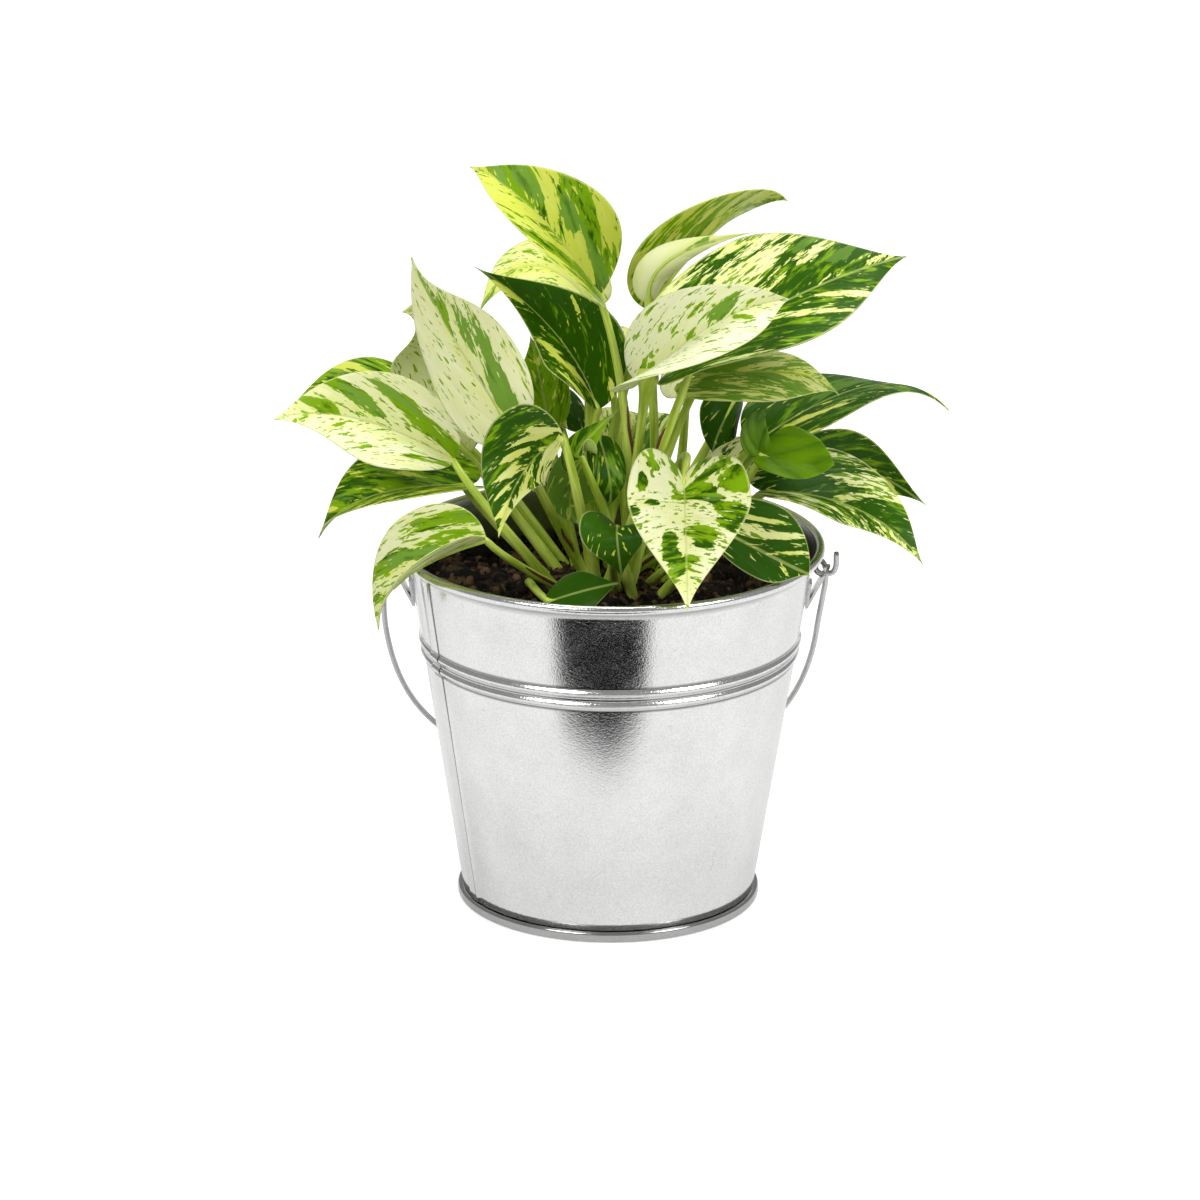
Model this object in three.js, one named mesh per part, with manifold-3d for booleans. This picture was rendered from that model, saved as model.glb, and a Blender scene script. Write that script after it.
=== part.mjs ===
// A marble queen pothos in a small galvanised bucket, in millimetres.
// +Z is up, -Y is the front, and the origin is the middle of the circle that the bucket stands on.
import * as THREE from 'three';
import { mergeVertices } from 'three/addons/utils/BufferGeometryUtils.js';
import Module from 'manifold-3d';

const wasm = await Module();
wasm.setup();

// Bucket: one tapered sheet, rolled outward at the rim and crimped into a standing hem at the foot.
const BUCKET_HEIGHT = 115.4;
const SHEET = 0.75;
const RIM_RADIUS = 66.5;
const BEAD_RADIUS = 1.47;
const WALL_TOP = { z: 112.4, radius: 63.07 };
const WALL_FOOT = { z: 3.6, radius: 45.8 };
const RIDGE_HEIGHTS = [81.1, 85.0];
const RIDGE_PROUD = 0.9;
const RIDGE_HALF_HEIGHT = 1.7;
const SEAM_AZIMUTH = 205;
const SEAM_WIDTH = 6;
const SEAM_PROUD = 0.45;
const HEM = { outer: 47.3, inner: 44.2, height: 3.3 };
const BASE_FLOOR = { low: 2.5, high: 3.3 };
const ROUND_SIDES = 48;

// The gap that touching pieces keep.
const CLEARANCE = 0.3;

// Ears: a folded strip under the rim on each side. The flap stands out and holds the bail.
const EAR_WIDTH = 6;
const EAR_SHEET = 0.8;
const EAR_TIP_RADIUS = 3;
const EAR_HOLE_RADIUS = 1.4;
const EAR_HOLE_OUT = 66.3;
const EAR_FLAP_TOP = { out: 67.3, z: 107.8 };
const EAR_FLAP_LEAN = 27.4;
const EAR_STRIP_TOP = 102.5;
const EAR_FOLD_Z = 94.4;
const EAR_TIP_SIDES = 20;
const EAR_HOLE_SIDES = 16;
const HINGE_Z = 105;

// Bail: one wire bent to a deep U, with a hook at each end. It hangs back against the wall.
const WIRE_RADIUS = 0.9;
const BAIL_HALF_SPAN = 68.3;
const BAIL_DROP = 95.5;
const BAIL_SQUARENESS = 2.79;
const BAIL_SHIFT = -2.7;
const BAIL_LEAN = 31.7;
const BAIL_STEPS = 28;
const BAIL_START = 8;
const WIRE_SIDES = 8;

// Soil: coarse peat, 15 mm below the rim, with a plain hole for each stem.
const SOIL_TOP = 101;
const SOIL_LUMP = 0.9;
const SOIL_RINGS = [0.22, 0.45, 0.7, 0.9, 1];
const SOIL_SIDES = 30;
const LUMP_WAVE = { across: 4.1, deep: 3.3, broad: 7 };
const LUMP_FADE = 1.3;

// Leaves: every blade has grown in one piece with its petiole.
const BLADE_THICKNESS = 0.64;
const BLADE_ROWS = 8;
const BLADE_COLUMNS = 4;
const RIPPLE = 0.35;
const RIPPLE_WAVES = 9;
const PETIOLE_SIDES = 5;
const PETIOLE_STEPS = 5;
const PETIOLE_TOP_RADIUS = 1.1;
const RIB_END_RADIUS = 0.45;
const RIB_ENDS = [0.1, 0.24];
const STEM_DEPTH = 4;
const HOLE_CLEARANCE = 0.35;
const HOLE_STEPS = 3;

// The blade's half outline, in shares of its length: the lobe beside the stalk, the widest point, the shoulder
// in front of it and the tip. Side veins leave the midrib at root and sweep forward to the margin.
const LOBE_SHARE = 0.4;
const LOBE_SWELL = 1.6;
const LOBE_RISE = 0.05;
const LOBE_TUCK = 0.02;
const WIDEST = 0.3;
const SHOULDER = 0.57;
const TIP_HANDLE = 0.8;
const VEIN_SWEEP = 0.17;
const ROOT_CROWDING = 1.6;
const TWIST_PIVOT = 0.4;

// base, mid and tip are points of the midrib; faces is where the upper side looks, as an azimuth from the
// front towards +X and a height above level, in degrees. left and right are the half widths, fold is the
// angle of each half up from the midrib at the base and at the tip, cup bends the margins down in mm, and
// twist turns the blade along its length in degrees. foot is where the petiole leaves the soil, and rise
// and join are the handles of its curve at the soil and at the blade.
const LEAVES = [
  { name: 'leaf_top', base: [-4, 6, 192], mid: [-24, -12, 223.5], tip: [-43.5, -1.5, 234.5],
    faces: [34, 30], left: 19.5, right: 16, fold: [28, 25], cup: -5, twist: -28, lobe: 0, taper: 0.15,
    foot: [6, 7], thick: 1.9, rise: [2, -1.5, 36], join: [8, 0, -23] },
  { name: 'leaf_behind_top', base: [-7.5, 28.5, 185], mid: [-26.5, 38.5, 192.5], tip: [-41.5, 30.5, 179.5],
    faces: [-30, 54], left: 12, right: 13, fold: [8, 8], cup: 2, twist: 0, lobe: 0.08, taper: 0.12,
    foot: [-5, 16], thick: 1.9, rise: [-2, 8.5, 57.5], join: [0, -2, -16] },
  { name: 'leaf_dark_middle', base: [-4.5, 12.5, 154.5], mid: [-18.5, 23.5, 176], tip: [-42.5, 14, 199],
    faces: [22, 20], left: 19, right: 20.5, fold: [55, 30], cup: 1.3, twist: 21, lobe: 0.03, taper: 0.02,
    foot: [-6, 11.5], thick: 1.9, rise: [-2.5, 1, 40], join: [-4.5, 0, -22.5] },
  { name: 'leaf_upper_right', base: [11, 23.5, 183], mid: [36, 24.5, 213], tip: [54, 29.5, 216.5],
    faces: [49, -41], left: 20, right: 17.5, fold: [-23, 12], cup: 1.5, twist: 14, lobe: 0, taper: 0.12,
    foot: [-7, 22], thick: 1.9, rise: [7.5, 4, 50.5], join: [-9.5, 1, -36] },
  { name: 'leaf_curled_cream', base: [11.5, 9, 189.5], mid: [18, 6.5, 204], tip: [44, 10.5, 211.5],
    faces: [9, 11], left: 5.5, right: 5, fold: [-2, 4], cup: 3.4, twist: 0, lobe: 0, taper: 0.12,
    foot: [12, 21], thick: 1.9, rise: [3, -1, 27.5], join: [2, 8.5, -48.5] },
  { name: 'leaf_big_right', base: [26, -13, 180], mid: [60.5, -8.5, 198.5], tip: [89.5, -2.5, 207.5],
    faces: [-33, 49], left: 27, right: 25.5, fold: [32, -6], cup: 1.7, twist: 8, lobe: 0.18, taper: 0.11,
    foot: [-2.5, -1.5], thick: 1.9, rise: [12.5, -11.5, 38], join: [-7, -12.5, -17] },
  { name: 'leaf_white', base: [11, -18, 173.5], mid: [32.5, -33.5, 195.5], tip: [53.5, -24.5, 200],
    faces: [-10, 37], left: 16, right: 21.5, fold: [49, 36], cup: -0.8, twist: 60, lobe: 0.08, taper: 0.16,
    foot: [1.5, 4.5], thick: 1.9, rise: [5.5, -9, 30.5], join: [-2.5, 5, -17.5] },
  { name: 'leaf_striped', base: [28, -8.5, 171], mid: [56, -11.5, 172.5], tip: [69.5, -8.5, 165],
    faces: [4, 72], left: 13.5, right: 13.5, fold: [3, 1], cup: 1.8, twist: -16, lobe: 0.13, taper: 0.11,
    foot: [5.5, 2], thick: 1.9, rise: [6, -3.5, 26.5], join: [-11, 3, -20] },
  { name: 'leaf_long_tip', base: [43.5, 11.5, 142.5], mid: [80.5, 22.5, 159], tip: [105, 22, 151.5],
    faces: [-80, 74], left: 21, right: 17.5, fold: [19, -16], cup: 1.9, twist: -49, lobe: 0, taper: 0.1,
    foot: [7.5, 15], thick: 1.9, rise: [11.5, -1, 14.5], join: [-9.5, 1, -12] },
  { name: 'leaf_young', base: [46, -10.5, 146.5], mid: [62.5, -18, 146], tip: [66.5, -21.5, 147.5],
    faces: [20, 53], left: 10, right: 9, fold: [29, 2], cup: -1.9, twist: 9, lobe: 0, taper: 0.12,
    foot: [14, -6], thick: 1.9, rise: [13, -8.5, 19], join: [-8.5, -16, -13] },
  { name: 'leaf_young_upper', base: [45.5, 16.5, 140.5], mid: [47, 26.5, 146], tip: [47, 25, 149.5],
    faces: [-36, 5], left: 6.5, right: 6.5, fold: [9, 9], cup: 3.4, twist: 7, lobe: 0.07, taper: 0.12,
    foot: [15.5, 7.5], thick: 1.9, rise: [5, 1.5, 7.5], join: [-13.5, -4, -19.5] },
  { name: 'leaf_dark_right', base: [56, 17.5, 133], mid: [76.5, 25.5, 132], tip: [98.5, 21, 121],
    faces: [-9, -16], left: 14.5, right: 14, fold: [14, 6], cup: 2, twist: -3, lobe: 0.09, taper: 0.11,
    foot: [12.5, 12.5], thick: 1.9, rise: [12.5, 1.5, 11.5], join: [-12, -1.5, -10] },
  { name: 'leaf_low_right', base: [48, -11.5, 135], mid: [76.5, -6.5, 127.5], tip: [95.5, -23.5, 116],
    faces: [19, 61], left: 17.5, right: 17.5, fold: [39, 13], cup: 2, twist: -6, lobe: 0.1, taper: 0.1,
    foot: [2, 14], thick: 1.9, rise: [15.5, -8, 15], join: [-13, 7, -10] },
  { name: 'leaf_rim_right', base: [34.5, -40.5, 131], mid: [52, -37, 120.5], tip: [60, -43, 118.5],
    faces: [4, 40], left: 15, right: 9.5, fold: [10, 8], cup: -0.6, twist: -7, lobe: 0.11, taper: 0.12,
    foot: [10.5, 8.5], thick: 1.5, rise: [8, -17, 14], join: [-4, 3, -1.5] },
  { name: 'leaf_heart', base: [22, -30, 143], mid: [22.5, -51, 133], tip: [23, -73, 116],
    faces: [3, 18], left: 22, right: 20.5, fold: [34, 15], cup: 1.7, twist: 8, lobe: 0.25, taper: 0.07,
    foot: [4, 25.5], thick: 1.9, rise: [22, -28.5, 54], join: [2, 36, 3] },
  { name: 'leaf_small_heart', base: [2, -43, 133], mid: [2, -51, 131], tip: [3.5, -47.5, 118.5],
    faces: [-1, 30], left: 10, right: 12, fold: [24, 8], cup: 0.9, twist: 6, lobe: 0.18, taper: 0.11,
    foot: [3, -3], thick: 1.9, rise: [-4, -19.5, 18.5], join: [-1, 11, -9.5] },
  { name: 'leaf_soil_front', base: [-18.5, -42, 109], mid: [-8, -46.5, 114], tip: [3, -46, 116.5],
    faces: [0, 54], left: 9.5, right: 9.5, fold: [5, 4], cup: 2, twist: 1, lobe: 0.09, taper: 0.12,
    foot: [-24.5, 6.5], thick: 1.5, rise: [-2, -15, 10.5], join: [-5.5, 19.5, -2.5] },
  { name: 'leaf_front_left', base: [-15, -28.5, 157], mid: [-27, -17, 142], tip: [-34, -40.5, 129],
    faces: [-25, 26], left: 16.5, right: 17.5, fold: [32, 14], cup: 0.3, twist: 9, lobe: 0.04, taper: 0.14,
    foot: [-2.5, -10], thick: 1.9, rise: [-8.5, -16.5, 42.5], join: [3.5, -3.5, -7.5] },
  { name: 'leaf_edge_on', base: [-9, -18, 147.5], mid: [-8.5, -11.5, 149.5], tip: [2, -12, 161],
    faces: [-40, 30], left: 7, right: 7, fold: [17, 11], cup: 1.5, twist: 1, lobe: 0.11, taper: 0.12,
    foot: [7.5, -7.5], thick: 1.9, rise: [-6.5, -9, 28.5], join: [5.5, -3, -13] },
  { name: 'leaf_middle_dark', base: [-4, -5, 150.5], mid: [-0.5, -13, 139], tip: [-1, -13.5, 130.5],
    faces: [23, 13], left: 6.5, right: 6.5, fold: [14, 17], cup: 1.5, twist: 1, lobe: 0, taper: 0.12,
    foot: [-0.5, 19.5], thick: 1.9, rise: [-1.5, -14, 42.5], join: [1.5, 10, -7] },
  { name: 'leaf_middle_grey', base: [-8.5, 3, 139.5], mid: [-12.5, 4, 127.5], tip: [-10, -3.5, 121.5],
    faces: [-12, 12], left: 8.5, right: 8.5, fold: [7, 7], cup: 2.2, twist: 0, lobe: 0.1, taper: 0.12,
    foot: [1.5, 30], thick: 1.9, rise: [-2.5, -10, 20.5], join: [6, 8, 0.5] },
  { name: 'leaf_left_cream', base: [-32.5, -10.5, 157.5], mid: [-51.5, 2, 185], tip: [-61.5, 2.5, 205],
    faces: [-45, 0], left: 19, right: 18.5, fold: [7, 10], cup: 3.8, twist: -43, lobe: 0.07, taper: 0.15,
    foot: [-5, 5.5], thick: 1.9, rise: [-13, -8.5, 27], join: [9.5, 5, -23] },
  { name: 'leaf_left_low_cream', base: [-49, 8, 138.5], mid: [-79.5, 9, 151.5], tip: [-104, -3.5, 154.5],
    faces: [-8, 36], left: 19, right: 18.5, fold: [51, 7], cup: 2.3, twist: -3, lobe: 0.01, taper: 0.13,
    foot: [-13.5, -7], thick: 1.9, rise: [-15.5, -4, 21.5], join: [7, -17.5, -6.5] },
  { name: 'leaf_left_back_dark', base: [-54, 43, 141], mid: [-79, 36, 153.5], tip: [-99, 35, 149],
    faces: [-13, 61], left: 15, right: 15, fold: [8, 10], cup: 2, twist: -4, lobe: 0.1, taper: 0.12,
    foot: [-12, 21], thick: 1.9, rise: [-19, 6.5, 23.5], join: [20, -14, -13.5] },
  { name: 'leaf_left_back_pale', base: [-51, 27, 142.5], mid: [-55, 25.5, 173.5], tip: [-65, 15, 184],
    faces: [5, 24], left: 17, right: 15.5, fold: [10, 14], cup: 1.7, twist: 3, lobe: 0.1, taper: 0.12,
    foot: [-14, 16.5], thick: 1.9, rise: [-17.5, 6, 21.5], join: [24.5, -5, -30] },
  { name: 'leaf_left_low_dark', base: [-46, 13.5, 128.5], mid: [-75, 6.5, 126.5], tip: [-91, 12.5, 111.5],
    faces: [-28, 70], left: 16.5, right: 18, fold: [28, 27], cup: 1.3, twist: -2, lobe: 0.1, taper: 0.12,
    foot: [-16, 9.5], thick: 1.5, rise: [-10.5, 1, 9.5], join: [7.5, -1.5, -9.5] },
  { name: 'leaf_rim_left', base: [-38, -36.5, 127], mid: [-63.5, -30.5, 112], tip: [-71, -25, 94],
    faces: [-37, 60], left: 17.5, right: 18, fold: [58, 10], cup: 1.5, twist: 0, lobe: 0.01, taper: 0.12,
    foot: [-8, -7], thick: 1.5, rise: [-7, -6.5, 7], join: [5.5, 5, -8.5] },
  { name: 'leaf_olive', base: [-20, 34, 144], mid: [-22.5, 34, 158], tip: [-25.5, 32, 172],
    faces: [0, 19], left: 8.5, right: 8.5, fold: [8, 8], cup: 2, twist: 0, lobe: 0.1, taper: 0.12,
    foot: [-9.5, 14.5], thick: 1.9, rise: [-7, 13, 32], join: [7, -14.5, -34] },
  { name: 'leaf_dark_point', base: [38.5, 26, 154], mid: [33.5, 17, 146], tip: [31.5, 16.5, 139],
    faces: [27, 3], left: 8, right: 8.5, fold: [4, 12], cup: 3.2, twist: 5, lobe: 0.1, taper: 0.12,
    foot: [8.5, 28], thick: 1.9, rise: [11.5, 1, 21], join: [-1.5, 5, -4] },
  { name: 'leaf_back_middle', base: [6, 46, 130], mid: [8, 60, 138], tip: [8, 72, 130],
    faces: [162, 71], left: 13, right: 14, fold: [16, 10], cup: 2, twist: 0, lobe: 0.1, taper: 0.12,
    foot: [-4.5, 25.5], thick: 1.5, rise: [8, 15.5, 25], join: [-6, -11.5, -18.5] },
  { name: 'leaf_back_low_right', base: [36, 38, 126], mid: [52, 54, 130], tip: [66, 64, 120],
    faces: [146, 68], left: 15, right: 14, fold: [16, 10], cup: 2, twist: 0, lobe: 0.1, taper: 0.12,
    foot: [13.5, 17], thick: 1.5, rise: [7, 6.5, 9], join: [-7.5, -7, -9.5] },
  { name: 'leaf_back_low_left', base: [-22, 38, 122], mid: [-38, 54, 126], tip: [-54, 62, 116],
    faces: [-146, 68], left: 14, right: 15, fold: [16, 10], cup: 2, twist: 0, lobe: 0.1, taper: 0.12,
    foot: [-8.5, 26], thick: 1.5, rise: [-6, 5, 11], join: [7.5, -7, -14.5] },
  { name: 'leaf_back_left', base: [-16, 44.5, 140], mid: [-30, 58.5, 148], tip: [-46, 68.5, 140],
    faces: [-153, 64], left: 16, right: 15, fold: [16, 10], cup: 2, twist: 0, lobe: 0.1, taper: 0.12,
    foot: [-3.5, 31.5], thick: 1.9, rise: [-6.5, 7.5, 23], join: [8, -7.5, -25.5] },
  { name: 'leaf_back_right', base: [24, 42, 152], mid: [38, 58, 160], tip: [52, 70, 152],
    faces: [153, 64], left: 15, right: 16, fold: [16, 10], cup: 2, twist: 0, lobe: 0.1, taper: 0.12,
    foot: [16, 27.5], thick: 1.9, rise: [7.5, 12, 36], join: [-2, -4.5, -22.5] },
  { name: 'leaf_back_centre', base: [0, 42, 156], mid: [-6, 58, 166], tip: [-10, 72, 160],
    faces: [180, 66], left: 16, right: 16, fold: [16, 10], cup: 2, twist: 0, lobe: 0.1, taper: 0.12,
    foot: [6, 32], thick: 1.9, rise: [-1, 1.5, 10.5], join: [5, -8, -43.5] },
];

const vec = (p) => new THREE.Vector3(...p);
const radians = THREE.MathUtils.degToRad;

// A closed three.js geometry as a solid for joining and cutting, and back.
function solid(geometry) {
  const bare = geometry.clone();
  bare.deleteAttribute('normal');
  bare.deleteAttribute('uv');
  const merged = mergeVertices(bare, 1e-4);
  return new wasm.Manifold(new wasm.Mesh({
    numProp: 3,
    vertProperties: new Float32Array(merged.attributes.position.array),
    triVerts: new Uint32Array(merged.index.array),
  }));
}

function piece(name, body, material) {
  const { vertProperties, triVerts } = body.getMesh();
  const geometry = new THREE.BufferGeometry();
  geometry.setAttribute('position', new THREE.BufferAttribute(vertProperties, 3));
  geometry.setIndex(new THREE.BufferAttribute(triVerts, 1));
  geometry.computeVertexNormals();
  const mesh = new THREE.Mesh(geometry, material);
  mesh.name = name;
  return mesh;
}

function closedGeometry(points, triangles) {
  const geometry = new THREE.BufferGeometry();
  geometry.setAttribute('position', new THREE.Float32BufferAttribute(points.flatMap((p) => p.toArray()), 3));
  geometry.setIndex(triangles.flat());
  return geometry;
}

// A closed profile of [radius, height] points turned about the upright axis.
function turned(profile) {
  const points = profile.map(([radius, height]) => new THREE.Vector2(radius, height));
  points.push(points[0].clone());
  return solid(new THREE.LatheGeometry(points, ROUND_SIDES).rotateX(Math.PI / 2));
}

// A round rod through points, with a radius at each of them, closed by a flat face at both ends.
function rod(points, radii, sides) {
  const vertices = [];
  const triangles = [];
  const across = new THREE.Vector3();
  points.forEach((point, i) => {
    const before = points[Math.max(i - 1, 0)];
    const after = points[Math.min(i + 1, points.length - 1)];
    const along = after.clone().sub(before).normalize();
    if (i === 0) across.set(1, 0, 0).addScaledVector(along, -along.x).normalize();
    across.addScaledVector(along, -across.dot(along)).normalize();
    const up = along.clone().cross(across);
    for (let k = 0; k < sides; k += 1) {
      const turn = (2 * Math.PI * k) / sides;
      vertices.push(point.clone()
        .addScaledVector(across, radii[i] * Math.cos(turn))
        .addScaledVector(up, radii[i] * Math.sin(turn)));
    }
    if (i === 0) return;
    for (let k = 0; k < sides; k += 1) {
      const a = (i - 1) * sides + k;
      const b = (i - 1) * sides + ((k + 1) % sides);
      triangles.push([a, b, b + sides], [a, b + sides, a + sides]);
    }
  });
  const last = (points.length - 1) * sides;
  for (let k = 2; k < sides; k += 1) {
    triangles.push([0, k, k - 1], [last, last + k - 1, last + k]);
  }
  return solid(closedGeometry(vertices, triangles));
}

// The outer radius of the plain tapered wall, and the swaged ridges that stand proud of it.
const wallSlope = (WALL_TOP.radius - WALL_FOOT.radius) / (WALL_TOP.z - WALL_FOOT.z);
const wallRadius = (z) => WALL_FOOT.radius + wallSlope * (z - WALL_FOOT.z);

function ridge(z) {
  return RIDGE_HEIGHTS.reduce((sum, middle) => {
    const away = Math.abs(z - middle) / RIDGE_HALF_HEIGHT;
    return away < 1 ? sum + RIDGE_PROUD * Math.cos((away * Math.PI) / 2) ** 2 : sum;
  }, 0);
}

function wallHeights() {
  const ridges = RIDGE_HEIGHTS.flatMap((middle) => (
    [-1, -0.4, 0.4, 1].map((share) => middle + share * RIDGE_HALF_HEIGHT)
  ));
  return [WALL_FOOT.z, ...ridges, WALL_TOP.z];
}

function bucketWall() {
  const heights = wallHeights();
  const outside = heights.map((z) => [wallRadius(z) + ridge(z), z]);
  const inside = heights.map((z) => [wallRadius(z) + ridge(z) - SHEET, z]).reverse();
  const bead = { radius: RIM_RADIUS - BEAD_RADIUS, z: BUCKET_HEIGHT - BEAD_RADIUS };
  const roll = [-135, -90, -45, 0, 45, 90, 135, 180].map((angle) => [
    bead.radius + BEAD_RADIUS * Math.cos(radians(angle)),
    bead.z + BEAD_RADIUS * Math.sin(radians(angle)),
  ]);
  const shell = turned([...outside, ...roll, ...inside]);
  const proud = heights.slice(0, -1).map((z) => [wallRadius(z) + ridge(z) + SEAM_PROUD, z]);
  const sunk = heights.slice(0, -1).map((z) => [wallRadius(z) + ridge(z) - SHEET / 3, z]).reverse();
  const slot = new THREE.BoxGeometry(RIM_RADIUS, SEAM_WIDTH, BUCKET_HEIGHT);
  slot.translate(RIM_RADIUS / 2, 0, BUCKET_HEIGHT / 2);
  slot.rotateZ(radians(SEAM_AZIMUTH));
  return shell.add(turned([...proud, ...sunk]).intersect(solid(slot)));
}

function bucketBase() {
  const rounding = 0.8;
  return turned([
    [0, BASE_FLOOR.low],
    [HEM.inner, BASE_FLOOR.low],
    [HEM.inner, 0],
    [HEM.outer - rounding, 0],
    [HEM.outer, rounding],
    [HEM.outer, HEM.height - rounding],
    [HEM.outer - rounding, HEM.height],
    [0, BASE_FLOOR.high],
  ]);
}

// The ear is bent from a strip: one leg lies on the wall, the other rises outward as the flap.
function ear() {
  const lean = Math.tan(radians(EAR_FLAP_LEAN));
  const legInner = (z) => wallRadius(z) + CLEARANCE;
  const legOuter = (z) => legInner(z) + EAR_SHEET;
  const flapInner = (z) => EAR_FLAP_TOP.out - lean * (EAR_FLAP_TOP.z - z);
  const flapOuter = (z) => flapInner(z) + EAR_SHEET / Math.cos(radians(EAR_FLAP_LEAN));
  const crotchZ = EAR_FLAP_TOP.z
    - (flapInner(EAR_FLAP_TOP.z) - legOuter(EAR_FLAP_TOP.z)) / (lean - wallSlope);
  const outline = [
    [legInner(EAR_FOLD_Z), EAR_FOLD_Z],
    [flapOuter(EAR_FOLD_Z), EAR_FOLD_Z],
    [flapOuter(EAR_FLAP_TOP.z), EAR_FLAP_TOP.z],
    [flapInner(EAR_FLAP_TOP.z), EAR_FLAP_TOP.z],
    [legOuter(crotchZ), crotchZ],
    [legOuter(EAR_STRIP_TOP), EAR_STRIP_TOP],
    [legInner(EAR_STRIP_TOP), EAR_STRIP_TOP],
  ];
  const shape = new THREE.Shape(outline.map(([out, z]) => new THREE.Vector2(out, z)));
  const strip = new THREE.ExtrudeGeometry(shape, { depth: EAR_WIDTH, bevelEnabled: false, steps: 1 });
  strip.translate(0, 0, -EAR_WIDTH / 2).rotateX(Math.PI / 2);
  const reach = 40;
  const below = new THREE.BoxGeometry(reach, reach, reach);
  below.translate(EAR_HOLE_OUT, 0, HINGE_Z - reach / 2);
  const tip = new THREE.CylinderGeometry(EAR_TIP_RADIUS, EAR_TIP_RADIUS, reach, EAR_TIP_SIDES);
  tip.rotateZ(Math.PI / 2).translate(EAR_HOLE_OUT, 0, HINGE_Z);
  const hole = new THREE.CylinderGeometry(EAR_HOLE_RADIUS, EAR_HOLE_RADIUS, reach, EAR_HOLE_SIDES);
  hole.rotateZ(Math.PI / 2).translate(EAR_HOLE_OUT, 0, HINGE_Z);
  return solid(strip).intersect(solid(below).add(solid(tip))).subtract(solid(hole));
}

// Bail points: along the hinge, square to the bail's own plane, and down from the hinge.
// Each hook passes beside its ear, turns in behind the flap and comes out through the hole.
const HOOK_RIGHT = [
  [66.3, 0.4, 11], [67, 2.2, 5.2], [66.6, 4.3, 1], [65.2, 4.9, -0.6], [63.9, 3.4, -0.8],
  [63.8, 1.4, -0.2], [65, 0.1, 0], [66.8, 0, 0],
];
const HOOK_LEFT = [
  [-70.3, 0.4, 11], [-68.6, 2.2, 5.2], [-66.8, 4.3, 1], [-65.2, 4.9, -0.6], [-63.9, 3.4, -0.8],
  [-63.8, 1.4, -0.2], [-65, 0.1, 0], [-66.8, 0, 0],
];
// The cut end of each hook turns straight up outside the ear: out from the middle, and above the hinge.
const HOOK_END = [[68.9, 0.4], [69.9, 2.2], [70, 7]];

function bailPath() {
  const lean = radians(BAIL_LEAN);
  const place = ([x, square, down]) => new THREE.Vector3(
    x,
    square * Math.cos(lean) + down * Math.sin(lean),
    HINGE_Z + square * Math.sin(lean) - down * Math.cos(lean),
  );
  const power = 2 / BAIL_SQUARENESS;
  const start = radians(BAIL_START);
  const bow = [];
  for (let i = 0; i <= BAIL_STEPS; i += 1) {
    const turn = start + (Math.PI - 2 * start) * (i / BAIL_STEPS);
    const side = Math.sign(Math.cos(turn)) * Math.abs(Math.cos(turn)) ** power;
    bow.push([BAIL_HALF_SPAN * side + BAIL_SHIFT, 0, BAIL_DROP * Math.sin(turn) ** power]);
  }
  const end = (sign) => HOOK_END.map(([out, up]) => new THREE.Vector3(sign * out, 0, HINGE_Z + up));
  const knots = [
    ...end(1).reverse(),
    ...HOOK_RIGHT.map(place).reverse(),
    ...bow.map(place),
    ...HOOK_LEFT.map(place),
    ...end(-1),
  ];
  const curve = new THREE.CatmullRomCurve3(knots, false, 'centripetal');
  const hook = HOOK_END.length + HOOK_RIGHT.length;
  const last = knots.length - 1;
  const points = [];
  knots.forEach((_, i) => {
    const inHook = i < hook || i >= last - hook;
    points.push(curve.getPoint(i / last));
    if (inHook && i < last) points.push(curve.getPoint((i + 0.5) / last));
  });
  return points;
}

// The blade's half outline in shares: along from the base (0) to the tip (1), and out to the half width.
// Each line of the blade leaves the midrib at root and runs forward to the margin, as a side vein does.
function marginPoint(leaf, t) {
  const back = new THREE.CubicBezierCurve(
    new THREE.Vector2(0, 0),
    new THREE.Vector2(-LOBE_SWELL * leaf.lobe, LOBE_RISE),
    new THREE.Vector2(-leaf.lobe - LOBE_TUCK, 1),
    new THREE.Vector2(WIDEST, 1),
  );
  const front = new THREE.CubicBezierCurve(
    new THREE.Vector2(WIDEST, 1),
    new THREE.Vector2(SHOULDER, 1),
    new THREE.Vector2(TIP_HANDLE, leaf.taper),
    new THREE.Vector2(1, 0),
  );
  if (t < LOBE_SHARE) {
    const share = t / LOBE_SHARE;
    const point = back.getPoint(share);
    return { along: point.x, out: point.y, root: (WIDEST - VEIN_SWEEP) * share ** ROOT_CROWDING };
  }
  const point = front.getPoint((t - LOBE_SHARE) / (1 - LOBE_SHARE));
  return { along: point.x, out: point.y, root: point.x - VEIN_SWEEP * point.y };
}

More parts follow.
